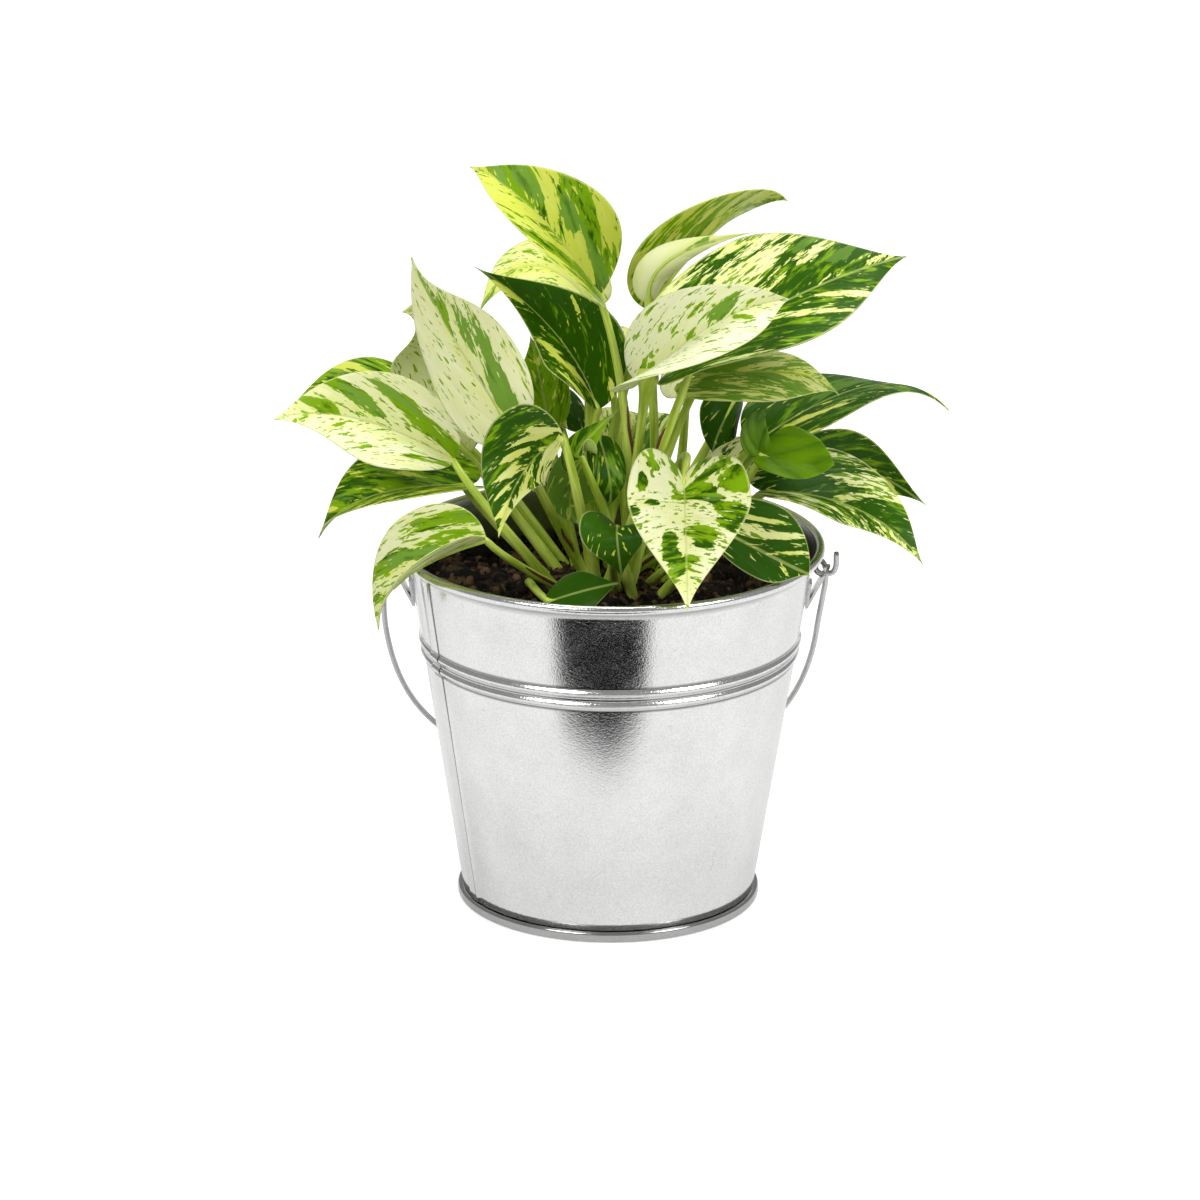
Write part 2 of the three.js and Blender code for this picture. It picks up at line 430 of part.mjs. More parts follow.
// A point of the blade's middle surface, along the midrib and out to one side (-1 to 1).
function bladePoint(leaf, along, out) {
  const base = vec(leaf.base);
  const tip = vec(leaf.tip);
  const handle = vec(leaf.mid).multiplyScalar(2).addScaledVector(base, -0.5).addScaledVector(tip, -0.5);
  const point = new THREE.QuadraticBezierCurve3(base, handle, tip).getPoint(along);
  const forward = handle.clone().sub(base).multiplyScalar(1 - along)
    .addScaledVector(tip.clone().sub(handle), along).normalize();
  const [azimuth, height] = leaf.faces.map(radians);
  const faces = new THREE.Vector3(
    Math.cos(height) * Math.sin(azimuth),
    -Math.cos(height) * Math.cos(azimuth),
    Math.sin(height),
  );
  const twist = radians(leaf.twist) * (along - TWIST_PIVOT);
  const side = faces.cross(forward).normalize().applyAxisAngle(forward, twist);
  const up = forward.clone().cross(side);
  const share = THREE.MathUtils.clamp(along, 0, 1);
  const fold = radians(THREE.MathUtils.lerp(leaf.fold[0], leaf.fold[1], share));
  const width = out * (out > 0 ? leaf.left : leaf.right);
  const phase = 2 * leaf.left + Math.sign(out);
  const wave = RIPPLE * Math.sin(RIPPLE_WAVES * along + phase) * Math.abs(out) ** 3;
  return point
    .addScaledVector(side, width * Math.cos(fold))
    .addScaledVector(up, Math.abs(width) * Math.sin(fold) - leaf.cup * out * out + wave);
}

function bladeNormal(leaf, along, out) {
  const step = 0.02;
  const lengthwise = bladePoint(leaf, along + step, out).sub(bladePoint(leaf, along - step, out));
  const across = bladePoint(leaf, along, out + step).sub(bladePoint(leaf, along, out - step));
  return lengthwise.cross(across).normalize();
}

// The blade: two alike faces a sheet apart, closed round the margin.
function blade(leaf) {
  const middle = [];
  const normals = [];
  const put = (along, out) => {
    middle.push(bladePoint(leaf, along, out));
    normals.push(bladeNormal(leaf, along, out));
  };
  put(0, 0);
  for (let row = 1; row < BLADE_ROWS; row += 1) {
    const { along, out, root } = marginPoint(leaf, row / BLADE_ROWS);
    for (let column = 0; column <= BLADE_COLUMNS; column += 1) {
      const across = (2 * column) / BLADE_COLUMNS - 1;
      put(root + (along - root) * Math.abs(across), out * across);
    }
  }
  put(1, 0);
  const wide = BLADE_COLUMNS + 1;
  const at = (row, column) => {
    if (row === 0) return 0;
    return row === BLADE_ROWS ? middle.length - 1 : 1 + (row - 1) * wide + column;
  };
  const face = [];
  const rim = [];
  for (let row = 0; row < BLADE_ROWS; row += 1) {
    for (let column = 0; column < BLADE_COLUMNS; column += 1) {
      const [a, b] = [at(row, column), at(row, column + 1)];
      const [c, d] = [at(row + 1, column + 1), at(row + 1, column)];
      if (c !== d) face.push([a, c, d]);
      if (a !== b) face.push([a, b, c]);
    }
    rim.push([at(row, 0), at(row + 1, 0)], [at(row + 1, BLADE_COLUMNS), at(row, BLADE_COLUMNS)]);
  }
  const offset = (half) => middle.map((p, i) => p.clone().addScaledVector(normals[i], half));
  const count = middle.length;
  const vertices = [...offset(BLADE_THICKNESS / 2), ...offset(-BLADE_THICKNESS / 2)];
  const triangles = [
    ...face.map(([a, b, c]) => [a, c, b]),
    ...face.map(([a, b, c]) => [a + count, b + count, c + count]),
    ...rim.flatMap(([a, b]) => [[b, a, a + count], [b, a + count, b + count]]),
  ];
  return solid(closedGeometry(vertices, triangles));
}

// The way that the halves of the blade fold, seen from the midrib.
function foldWay(leaf, along) {
  const wing = 0.3;
  const middle = bladePoint(leaf, along, wing).add(bladePoint(leaf, along, -wing)).multiplyScalar(0.5);
  return middle.sub(bladePoint(leaf, along, 0));
}

// The petiole rises from its hole in the soil and runs on under the blade as the midrib.
function petiole(leaf, extra) {
  const foot = new THREE.Vector3(leaf.foot[0], leaf.foot[1], SOIL_TOP - STEM_DEPTH);
  const base = vec(leaf.base);
  const curve = new THREE.CubicBezierCurve3(
    foot,
    foot.clone().add(vec(leaf.rise)),
    base.clone().add(vec(leaf.join)),
    base,
  );
  const points = curve.getPoints(PETIOLE_STEPS);
  const radii = points.map((_, i) => (
    THREE.MathUtils.lerp(leaf.thick, PETIOLE_TOP_RADIUS, i / PETIOLE_STEPS) + extra
  ));
  if (extra > 0) {
    points[0].addScaledVector(curve.getTangent(0), -extra);
    return rod(points.slice(0, HOLE_STEPS + 1), radii.slice(0, HOLE_STEPS + 1), PETIOLE_SIDES);
  }
  RIB_ENDS.forEach((along, i) => {
    const normal = bladeNormal(leaf, along, 0);
    const under = normal.dot(foldWay(leaf, along)) > 0 ? -1 : 1;
    points.push(bladePoint(leaf, along, 0).addScaledVector(normal, (under * BLADE_THICKNESS) / 2));
    radii.push(THREE.MathUtils.lerp(PETIOLE_TOP_RADIUS, RIB_END_RADIUS, i));
  });
  return rod(points, radii, PETIOLE_SIDES);
}

// Peat: a tapered plug with an uneven top, pierced where the petioles stand.
function soil() {
  const low = WALL_FOOT.z + CLEARANCE;
  const inner = (z) => wallRadius(z) - SHEET - CLEARANCE;
  const edge = inner(SOIL_TOP - 2 * SOIL_LUMP);
  const lump = (x, y) => {
    const small = Math.sin(x / LUMP_WAVE.across + 1) * Math.cos(y / LUMP_WAVE.deep);
    return SOIL_LUMP * (small + Math.sin((x + 2 * y) / LUMP_WAVE.broad));
  };
  const vertices = [new THREE.Vector3(0, 0, SOIL_TOP + lump(0, 0))];
  const triangles = [];
  const ringAt = (radius, height) => {
    for (let k = 0; k < SOIL_SIDES; k += 1) {
      const turn = (2 * Math.PI * k) / SOIL_SIDES;
      const [x, y] = [radius * Math.cos(turn), radius * Math.sin(turn)];
      vertices.push(new THREE.Vector3(x, y, height(x, y)));
    }
  };
  SOIL_RINGS.forEach((share) => (
    ringAt(share * edge, (x, y) => SOIL_TOP + lump(x, y) * (LUMP_FADE - share))
  ));
  ringAt(inner(low), () => low);
  vertices.push(new THREE.Vector3(0, 0, low));
  const foot = 1 + SOIL_RINGS.length * SOIL_SIDES;
  for (let k = 0; k < SOIL_SIDES; k += 1) {
    const next = (k + 1) % SOIL_SIDES;
    triangles.push([0, 1 + k, 1 + next]);
    for (let ring = 0; ring < SOIL_RINGS.length; ring += 1) {
      const a = 1 + ring * SOIL_SIDES + k;
      const b = 1 + ring * SOIL_SIDES + next;
      triangles.push([a, a + SOIL_SIDES, b + SOIL_SIDES], [a, b + SOIL_SIDES, b]);
    }
    triangles.push([foot + k, vertices.length - 1, foot + next]);
  }
  const plug = solid(closedGeometry(vertices, triangles));
  return LEAVES.reduce((body, leaf) => body.subtract(petiole(leaf, HOLE_CLEARANCE)), plug);
}

const material = (color, roughness, metalness) => (
  new THREE.MeshStandardMaterial({ color, roughness, metalness })
);
const steel = () => material(0xb9bbbd, 0.42, 0.9);
const plant = new THREE.Group();
plant.add(piece('bucket_wall', bucketWall(), steel()));
plant.add(piece('bucket_base', bucketBase(), steel()));
const rightEar = piece('ear_right', ear(), steel());
const leftEar = piece('ear_left', ear(), steel());
leftEar.rotation.z = Math.PI;
plant.add(rightEar, leftEar);
const wire = bailPath();
const bail = rod(wire, wire.map(() => WIRE_RADIUS), WIRE_SIDES);
plant.add(piece('bail', bail, material(0x9a9da0, 0.35, 0.95)));
plant.add(piece('soil', soil(), material(0x3a2519, 0.95, 0)));
LEAVES.forEach((leaf) => {
  plant.add(piece(leaf.name, blade(leaf).add(petiole(leaf, 0)), material(0x9dab5c, 0.45, 0)));
});

export default plant;
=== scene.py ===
import math

import bpy
import numpy as np
from mathutils import Matrix, Vector


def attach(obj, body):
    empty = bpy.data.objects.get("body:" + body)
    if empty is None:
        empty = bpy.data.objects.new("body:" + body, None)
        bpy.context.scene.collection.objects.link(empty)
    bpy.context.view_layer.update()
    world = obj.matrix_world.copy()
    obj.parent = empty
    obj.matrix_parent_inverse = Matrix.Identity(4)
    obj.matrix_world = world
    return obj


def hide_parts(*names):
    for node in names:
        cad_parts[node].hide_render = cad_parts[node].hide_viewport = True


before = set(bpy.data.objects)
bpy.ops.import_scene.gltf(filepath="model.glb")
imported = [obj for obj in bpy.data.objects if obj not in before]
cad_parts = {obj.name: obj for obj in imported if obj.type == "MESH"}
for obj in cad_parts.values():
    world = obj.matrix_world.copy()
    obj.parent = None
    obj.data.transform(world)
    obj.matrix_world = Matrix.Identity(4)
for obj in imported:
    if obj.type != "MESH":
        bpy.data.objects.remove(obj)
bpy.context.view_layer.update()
MM = 0.001

# The view: a long lens from the front, 18 degrees above level, about 1.9 m from the plant.
# The picture is square, and the camera is turned by a third of a degree about its own line of sight.
lens_length, sensor_width = 182.39, 36
view_height = math.radians(18.319)
view_roll = math.radians(0.386)
view_distance = 1889 * MM
view_target = Vector((-3.15, 0, 95.85)) * MM
camera_data = bpy.data.cameras.new("studio_camera")
camera_data.lens = lens_length
camera_data.sensor_width = sensor_width
camera_data.clip_start = 0.05
camera_data.clip_end = 20
camera = bpy.data.objects.new("studio_camera", camera_data)
bpy.context.scene.collection.objects.link(camera)
sideward = Vector((1, 0, 0))
backward = Vector((0, -math.cos(view_height), math.sin(view_height)))
level_up = Vector((0, math.sin(view_height), math.cos(view_height)))
rightward = sideward * math.cos(view_roll) + level_up * math.sin(view_roll)
upward = level_up * math.cos(view_roll) - sideward * math.sin(view_roll)
camera.matrix_world = Matrix.Translation(view_target + view_distance * backward) @ Matrix(
    (rightward, upward, backward)).transposed().to_4x4()
bpy.context.scene.camera = camera
bpy.context.scene.view_settings.view_transform = "Standard"


# The studio: a white floor under the plant, bright even light from all round, and three large soft lamps.
# The room is darker to the metal than to the eye, so that the zinc doesn't wash out.
def shader_node(tree, kind, inputs=(), **settings):
    made = tree.nodes.new(kind)
    for key, value in settings.items():
        setattr(made, key, value)
    for key, value in dict(inputs).items():
        if isinstance(value, bpy.types.NodeSocket):
            tree.links.new(value, made.inputs[key])
        else:
            made.inputs[key].default_value = value
    return made


def maths(tree, operation, a, b=0.0, c=0.0, clamp=False):
    return shader_node(tree, "ShaderNodeMath", {0: a, 1: b, 2: c}, operation=operation, use_clamp=clamp).outputs[0]


def new_paint(name, constants=()):
    # a material with the shader values that are the same all over the piece
    paint = bpy.data.materials.new(name)
    paint.use_nodes = True
    sockets = paint.node_tree.nodes["Principled BSDF"].inputs
    for key, value in dict(constants).items():
        sockets[key].default_value = value
    return paint, paint.node_tree, sockets


room_light, room_white = 0.32, 0.96
world = bpy.data.worlds.new("studio_light")
world.use_nodes = True
t = world.node_tree
t.nodes["Background"].inputs["Color"].default_value = (1, 1, 1, 1)
seen = shader_node(t, "ShaderNodeLightPath").outputs["Is Camera Ray"]
t.links.new(
    shader_node(t, "ShaderNodeMapRange", {"Value": seen, "To Min": room_light, "To Max": room_white}).outputs["Result"],
    t.nodes["Background"].inputs["Strength"])
bpy.context.scene.world = world

# The floor glows a little to the eye and in the metal, so that it stays white while its shadows stay faint.
floor_side, floor_drop = 12, 0.2
floor_glow, glow_in_metal, glow_to_eye = 0.05, 0.32, 0.62
bpy.ops.mesh.primitive_plane_add(size=1, location=(0, 0, -floor_drop * MM))
floor = bpy.context.object
floor.name = "floor"
floor.scale = (floor_side, floor_side, 1)
floor_paint, t, sockets = new_paint("floor", {
    "Base Color": (0.6, 0.6, 0.6, 1), "Roughness": 0.9, "Specular IOR Level": 0.1, "Emission Color": (1, 1, 1, 1)})
rays = shader_node(t, "ShaderNodeLightPath").outputs
glow = maths(t, "MULTIPLY_ADD", rays["Is Glossy Ray"], glow_in_metal, floor_glow)
t.links.new(maths(t, "MULTIPLY_ADD", rays["Is Camera Ray"], glow_to_eye, glow), sockets["Emission Strength"])
floor.data.materials.append(floor_paint)

# The lamps look at the middle of the plant. Each has its place and its side in metres, and its power in watts.
lamp_aim = Vector((0, 0, 0.12))
for name, place, side, power in (
    ("left_lamp", (-0.9, -1.2, 1.5), 0.8, 18),
    ("right_lamp", (1.2, -0.9, 1.3), 0.7, 16),
    ("top_lamp", (0.1, 0.4, 1.8), 0.9, 14),
):
    lamp_data = bpy.data.lights.new(name, "AREA")
    lamp_data.shape = "RECTANGLE"
    lamp_data.size = side
    lamp_data.size_y = side
    lamp_data.energy = power
    lamp = bpy.data.objects.new(name, lamp_data)
    lamp.location = place
    lamp.rotation_euler = (lamp_aim - Vector(place)).to_track_quat("-Z", "Y").to_euler()
    bpy.context.scene.collection.objects.link(lamp)

# A dark card lies on the floor in front, and only the metal sees it: it makes the one dark patch on the wall.
dark_outline = [
    (-4, -138), (-30, -141), (-58, -143), (-75, -148), (-86, -160), (-98, -176), (-108, -190), (-122, -215),
    (-132, -260), (104, -260), (84, -222), (73, -202), (67, -183), (58, -164), (47, -153), (28, -147), (10, -140),
]
dark_mesh = bpy.data.meshes.new("dark_card")
dark_mesh.from_pydata(
    [(x * MM, y * MM, 0.5 * MM) for x, y in dark_outline], [], [tuple(range(len(dark_outline)))])
dark_mesh.materials.append(
    new_paint("dark_card", {"Base Color": (0.008, 0.008, 0.008, 1), "Specular IOR Level": 0})[0])
dark_card = bpy.data.objects.new("dark_card", dark_mesh)
bpy.context.scene.collection.objects.link(dark_card)
dark_card.visible_camera = False
dark_card.visible_diffuse = False
dark_card.visible_shadow = False
dark_card.visible_transmission = False


# The bucket wall: one tapered sheet of galvanised steel, lapped in one upright seam on the left, near the front.
# Its top edge is rolled outward round a wire, and two ridges are swaged a third of the way down.
def add_piece(name, vertices, faces, materials, smooth=True):
    mesh = bpy.data.meshes.new(name)
    mesh.from_pydata([tuple(v) for v in np.asarray(vertices) * MM], [], faces)
    mesh.polygons.foreach_set("use_smooth", [smooth] * len(mesh.polygons))
    for paint in materials:
        mesh.materials.append(paint)
    mesh.update()
    piece = bpy.data.objects.new(name, mesh)
    bpy.context.scene.collection.objects.link(piece)
    return piece


def turned_faces(columns, rows):
    faces = []
    for k in range(columns):
        across = (k + 1) % columns
        for i in range(rows):
            up = (i + 1) % rows
            faces.append((k * rows + i, across * rows + i, across * rows + up, k * rows + up))
    return faces


bucket_height = 115.4
sheet = 0.75
wall_top = (112.4, 63.07)
wall_foot = (3.6, 45.8)
rim_radius = 66.5
bead_radius = 1.47
ridge_heights = (81.1, 85.0)
ridge_proud = 0.9
ridge_half_height = 1.7
seam_azimuth = math.radians(205)
seam_width = 6
seam_proud = 0.45
seam_softness = 0.4
wall_sides = 200
# no plain column of the wall stands this near the seam, which has its own, at these angles from its middle
seam_cleared = 0.072
seam_offsets = np.array([-0.065, -0.055, -0.0485, -0.045, 0.045, 0.0485, 0.0515, 0.055, 0.065])
# the two columns at the open edge of the lap, where a painted shade line lies in the gap
seam_line = 0.0485, 0.0515
# rows of the wall as from, to and how many: they are close together over the ridges
wall_bands = ((wall_foot[0], 78.6, 26), (79.2, 86.9, 40), (87.6, wall_top[0], 10))
# painted shade: thin dark lines below, between and above the two ridges and under the rolled rim, at these heights and
# this width in mm
shade_line_heights = (ridge_heights[0] - 1.75, ridge_heights[1] - 1.95, ridge_heights[1] + 1.75, wall_top[0] - 0.1)
shade_line_width = 0.32


def wall_radius(z):
    return wall_foot[1] + (wall_top[1] - wall_foot[1]) * (z - wall_foot[0]) / (wall_top[0] - wall_foot[0])


def ridge(z):
    away = np.abs(np.asarray(z)[..., None] - np.array(ridge_heights)) / ridge_half_height
    return (np.where(away < 1, np.cos(np.minimum(away, 1) * math.pi / 2) ** 2, 0) * ridge_proud).sum(-1)


def seam_rise(angle, z):
    aside = np.abs(angle - seam_azimuth) * wall_radius(z)
    return seam_proud * np.clip((seam_width / 2 - aside) / seam_softness + 0.5, 0, 1)


wall_z = np.concatenate([np.linspace(*band) for band in wall_bands])
bead_centre = (rim_radius - bead_radius, bucket_height - bead_radius)
bead_angles = np.radians(np.arange(-125, 181, 15))
turns = 2 * math.pi * np.arange(wall_sides) / wall_sides
turns = np.sort(np.concatenate([turns[np.abs(turns - seam_azimuth) > seam_cleared], seam_azimuth + seam_offsets]))
rings, wall_shade_marks = [], []  # a mark is how much painted shade lies in the creases and along the seam's open edge, then 1 inside the bucket
for angle in turns:
    outer = wall_radius(wall_z) + ridge(wall_z) + seam_rise(angle, wall_z) * (wall_z < wall_top[0] - 0.5)
    inner = wall_radius(wall_z) + ridge(wall_z) - sheet
    radius = np.concatenate([outer, bead_centre[0] + bead_radius * np.cos(bead_angles), inner[::-1]])
    height = np.concatenate([wall_z, bead_centre[1] + bead_radius * np.sin(bead_angles), wall_z[::-1]])
    rings.append(np.stack([radius * math.cos(angle), radius * math.sin(angle), height], 1))
    # painted shade in the creases, and a painted shadow line along the seam's open edge
    painted_crease_shade = np.zeros(len(radius))
    for z in shade_line_heights:
        painted_crease_shade = np.maximum(painted_crease_shade, np.exp(-((height - z) / shade_line_width) ** 2) * (radius < rim_radius - 2.2))
    if min(abs(angle - seam_azimuth - line) for line in seam_line) < 0.0005:
        painted_crease_shade[:len(wall_z)] = 1
    inside = np.zeros(len(radius))
    inside[-len(wall_z):] = 1
    wall_shade_marks.append(np.stack([painted_crease_shade, inside, np.zeros(len(radius))], 1))


def step_up(tree, value, low, high):
    return shader_node(tree, "ShaderNodeMapRange", {
        "Value": value, "From Min": low, "From Max": high}, interpolation_type="SMOOTHSTEP").outputs["Result"]


def blend(tree, share, a, b):
    return shader_node(tree, "ShaderNodeMix", {0: share, 6: a, 7: b}, data_type="RGBA").outputs[2]


def new_group(name, inputs, outputs):
    tree = bpy.data.node_groups.new(name, "ShaderNodeTree")
    for key, kind in inputs:
        tree.interface.new_socket(key, in_out="INPUT", socket_type="NodeSocket" + kind)
    for key, kind in outputs:
        tree.interface.new_socket(key, in_out="OUTPUT", socket_type="NodeSocket" + kind)
    return tree, tree.nodes.new("NodeGroupInput").outputs, tree.nodes.new("NodeGroupOutput").inputs


def body_noise(tree, size, detail=2.0, rough=0.5):
    # noise in the piece's own space, with features of about size mm
    place = shader_node(tree, "ShaderNodeTexCoord").outputs["Object"]
    scaled = shader_node(tree, "ShaderNodeVectorMath", {
        0: place, 1: (1000 / size, 1000 / size, 1000 / size)}, operation="MULTIPLY").outputs[0]
    return shader_node(tree, "ShaderNodeTexNoise", {
        "Vector": scaled, "Scale": 1.0, "Detail": detail, "Roughness": rough}).outputs["Fac"]


# The zinc coat: a fine even grain with faint cloudy blooms, a few dull smudges, and painted shade where a piece is
# darkened towards dark zinc, as in the creases.
bright_zinc, dull_zinc = (0.86, 0.86, 0.85, 1), (0.60, 0.60, 0.595, 1)
smudged_zinc, darkest_zinc = (0.42, 0.42, 0.41, 1), (0.05, 0.052, 0.045, 1)
# the colour of the painted shade and greenish reflection on the inside of the wall
inside_shade_and_reflection = (0.13, 0.15, 0.11, 1)
zinc_coat, given, result = new_group(
    "zinc_coat", [("Shine", "Float"), ("Shade_and_darkening", "Float"), ("Wear", "Float")],
    [("Color", "Color"), ("Roughness", "Float"), ("Height", "Float")])
t = zinc_coat
grain = body_noise(t, 0.6, 2.0, 0.7)
bloom = body_noise(t, 16, 3.0, 0.6)
smudge = step_up(t, body_noise(t, 5, 4.0, 0.7), 0.63, 0.74)
tone = maths(t, "MULTIPLY_ADD", maths(t, "SUBTRACT", grain, 0.5), 1.6, 0.5)
tone = maths(t, "MULTIPLY_ADD", maths(t, "SUBTRACT", bloom, 0.5), 0.7, tone, clamp=True)
colour = blend(t, tone, dull_zinc, bright_zinc)
colour = blend(t, maths(t, "MULTIPLY", smudge, given["Wear"]), colour, smudged_zinc)
# painted shade: the colour is darkened towards dark zinc by the share given
t.links.new(blend(t, given["Shade_and_darkening"], colour, darkest_zinc), result["Color"])
dull = maths(t, "MULTIPLY_ADD", maths(t, "SUBTRACT", grain, 0.5), 0.16, given["Shine"])
dull = maths(t, "MULTIPLY_ADD", maths(t, "SUBTRACT", bloom, 0.5), 0.14, dull)
t.links.new(maths(t, "MULTIPLY_ADD", smudge, 0.12, dull), result["Roughness"])
t.links.new(body_noise(t, 0.55, 2.0, 0.6), result["Height"])


def zinc_paint(name, shine, wear, bump, shade_marks=False, shade_darkening=0.0):
    # bump is how rough the coat is to the touch, in mm
    paint, tree, sockets = new_paint(name, {"Metallic": 1})
    coat = shader_node(tree, "ShaderNodeGroup", {"Shine": shine, "Wear": wear, "Shade_and_darkening": shade_darkening}, node_tree=zinc_coat)
    colour, dull = coat.outputs["Color"], coat.outputs["Roughness"]
    if shade_marks:
        marked = shader_node(tree, "ShaderNodeSeparateXYZ", {
            0: shader_node(tree, "ShaderNodeAttribute", attribute_name="shade_marks").outputs["Vector"]}).outputs
        tree.links.new(maths(tree, "MULTIPLY", marked[0], 0.85), coat.inputs["Shade_and_darkening"])
        # painted shade and reflection: the whole inside of the wall is darkened to a greenish grey, in cloudy patches
        inside_shading = maths(tree, "MULTIPLY", marked[1], maths(tree, "MULTIPLY_ADD", body_noise(tree, 9, 3.0), 0.5, 0.5))
        colour = blend(tree, inside_shading, colour, inside_shade_and_reflection)
        dull = maths(tree, "MULTIPLY_ADD", marked[1], 0.18, dull)
    tree.links.new(colour, sockets["Base Color"])
    tree.links.new(dull, sockets["Roughness"])
    tree.links.new(shader_node(tree, "ShaderNodeBump", {
        "Strength": 1.0, "Distance": bump * MM, "Height": coat.outputs["Height"]}).outputs[0], sockets["Normal"])
    return paint


zinc = zinc_paint("galvanised_sheet", 0.15, 0.3, 0.045, shade_marks=True)
bucket_wall = add_piece(
    "zinc_wall", np.concatenate(rings), turned_faces(len(turns), len(rings[0])), [zinc])
bucket_wall.data.attributes.new("shade_marks", "FLOAT_VECTOR", "POINT").data.foreach_set(
    "vector", np.concatenate(wall_shade_marks).ravel().astype(np.float32))
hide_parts("bucket_wall")
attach(bucket_wall, "bucket")

# The bucket base: a pressed steel disc, whose edge is crimped round the foot of the wall in a rounded hem.
# The bucket stands on the hem, and the floor of the disc lies a little higher.
hem_outer = 47.3
hem_inner = 44.2
hem_height = 3.3
floor_low = 2.5
hem_rounding = 0.9
hem_break = 0.3
base_sides = 192
disc_centre = 0.01
hem_bend = np.radians(np.arange(0, 91, 15))
hem_profile = np.array(
    [(disc_centre, floor_low), (hem_inner - hem_break, floor_low), (hem_inner, floor_low - hem_break),
     (hem_inner, hem_break), (hem_inner + hem_break, 0)]
    + [(hem_outer - hem_rounding * (1 - math.sin(a)), hem_rounding * (1 - math.cos(a))) for a in hem_bend]
    + [(hem_outer - hem_rounding * (1 - math.cos(a)), hem_height - hem_rounding * (1 - math.sin(a))) for a in hem_bend]
    + [(disc_centre, hem_height)]
)
base_turns = 2 * math.pi * np.arange(base_sides) / base_sides
base_points = np.concatenate([
    np.stack([hem_profile[:, 0] * math.cos(a), hem_profile[:, 0] * math.sin(a), hem_profile[:, 1]], 1)
    for a in base_turns
])
# the base is darkened all over: painted shade, for it stands in its own contact shadow on the floor
pressed_zinc = zinc_paint("pressed_zinc", 0.14, 0.6, 0.02, shade_darkening=0.45)
bucket_base = add_piece("zinc_base", base_points, turned_faces(len(base_turns), len(hem_profile)), [pressed_zinc])
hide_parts("bucket_base")
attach(bucket_base, "bucket")


# The ears: a folded strip of the same steel under the rim on each side, with a hole for the bail.
# The sheared edges are broken by a small radius.
def softened_copy(name, node, bevel):
    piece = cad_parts[node].copy()
    piece.data = piece.data.copy()
    piece.name = name
    piece.data.name = name
    for key in list(piece.keys()):
        del piece[key]
    piece.parent = None
    piece.data.materials.clear()
    bpy.context.scene.collection.objects.link(piece)
    edge = piece.modifiers.new("broken_edges", "BEVEL")
    edge.width = bevel * MM
    edge.segments = 2
    edge.limit_method = "ANGLE"
    return piece


# the ears are darkened a little: painted shade, for they sit under the rolled rim
ear_zinc = zinc_paint("ear_zinc", 0.28, 0.7, 0.03, shade_darkening=0.2)
for node in ("ear_right", "ear_left"):
    ear = softened_copy("zinc_" + node, node, 0.15)
    ear.data.materials.append(ear_zinc)
    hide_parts(node)
    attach(ear, "bucket")

# The bail: one steel wire bent to a deep U. Each end is bent to a hook that passes through its ear.
# It hangs back against the wall, and it is duller than the sheet.
hinge_z = 105
wire_radius = 0.9
bail_half_span = 68.3
bail_drop = 95.5
bail_squareness = 2.79
bail_shift = -2.7
bail_lean = math.radians(31.7)
bail_start = math.radians(8)
hook_right = [
    (66.3, 0.4, 11), (67, 2.2, 5.2), (66.6, 4.3, 1), (65.2, 4.9, -0.6), (63.9, 3.4, -0.8),
    (63.8, 1.4, -0.2), (65, 0.1, 0), (66.8, 0, 0),
]
hook_left = [
    (-70.3, 0.4, 11), (-68.6, 2.2, 5.2), (-66.8, 4.3, 1), (-65.2, 4.9, -0.6), (-63.9, 3.4, -0.8),
    (-63.8, 1.4, -0.2), (-65, 0.1, 0), (-66.8, 0, 0),
]
hook_end = [(68.9, 0.4), (69.9, 2.2), (70, 7)]
bow_knots = 29
wire_sides = 16


def in_bail_plane(x, square, down):
    return (x, square * math.cos(bail_lean) + down * math.sin(bail_lean),
            hinge_z + square * math.sin(bail_lean) - down * math.cos(bail_lean))


bow = []
for i in range(bow_knots):
    turn = bail_start + (math.pi - 2 * bail_start) * i / (bow_knots - 1)
    reach = math.copysign(abs(math.cos(turn)) ** (2 / bail_squareness), math.cos(turn))
    bow.append(in_bail_plane(
        bail_half_span * reach + bail_shift, 0, bail_drop * math.sin(turn) ** (2 / bail_squareness)))
wire_knots = (
    [(out, 0, hinge_z + up) for out, up in hook_end[::-1]]
    + [in_bail_plane(*p) for p in hook_right[::-1]] + bow + [in_bail_plane(*p) for p in hook_left]
    + [(-out, 0, hinge_z + up) for out, up in hook_end]
)


def smooth_path(knots, steps):
    # centripetal Catmull-Rom, with a mirrored point before the first knot and after the last
    p = np.asarray(knots, float)
    p = np.concatenate([[2 * p[0] - p[1]], p, [2 * p[-1] - p[-2]]])
    path = []
    for i in range(1, len(p) - 2):
        gap = np.linalg.norm(np.diff(p[i - 1:i + 3], axis=0), axis=1) ** 0.5
        t0, t1, t2, t3 = 0, gap[0], gap[0] + gap[1], gap.sum()
        for t in t1 + (t2 - t1) * np.arange(steps) / steps:
            a = [p[i + j - 1] * (k1 - t) / (k1 - k0) + p[i + j] * (t - k0) / (k1 - k0)
                 for j, (k0, k1) in enumerate(((t0, t1), (t1, t2), (t2, t3)))]
            b0 = a[0] * (t2 - t) / (t2 - t0) + a[1] * (t - t0) / (t2 - t0)
            b1 = a[1] * (t3 - t) / (t3 - t1) + a[2] * (t - t1) / (t3 - t1)
            path.append(b0 * (t2 - t) / (t2 - t1) + b1 * (t - t1) / (t2 - t1))
    return np.array(path + [p[-2]])


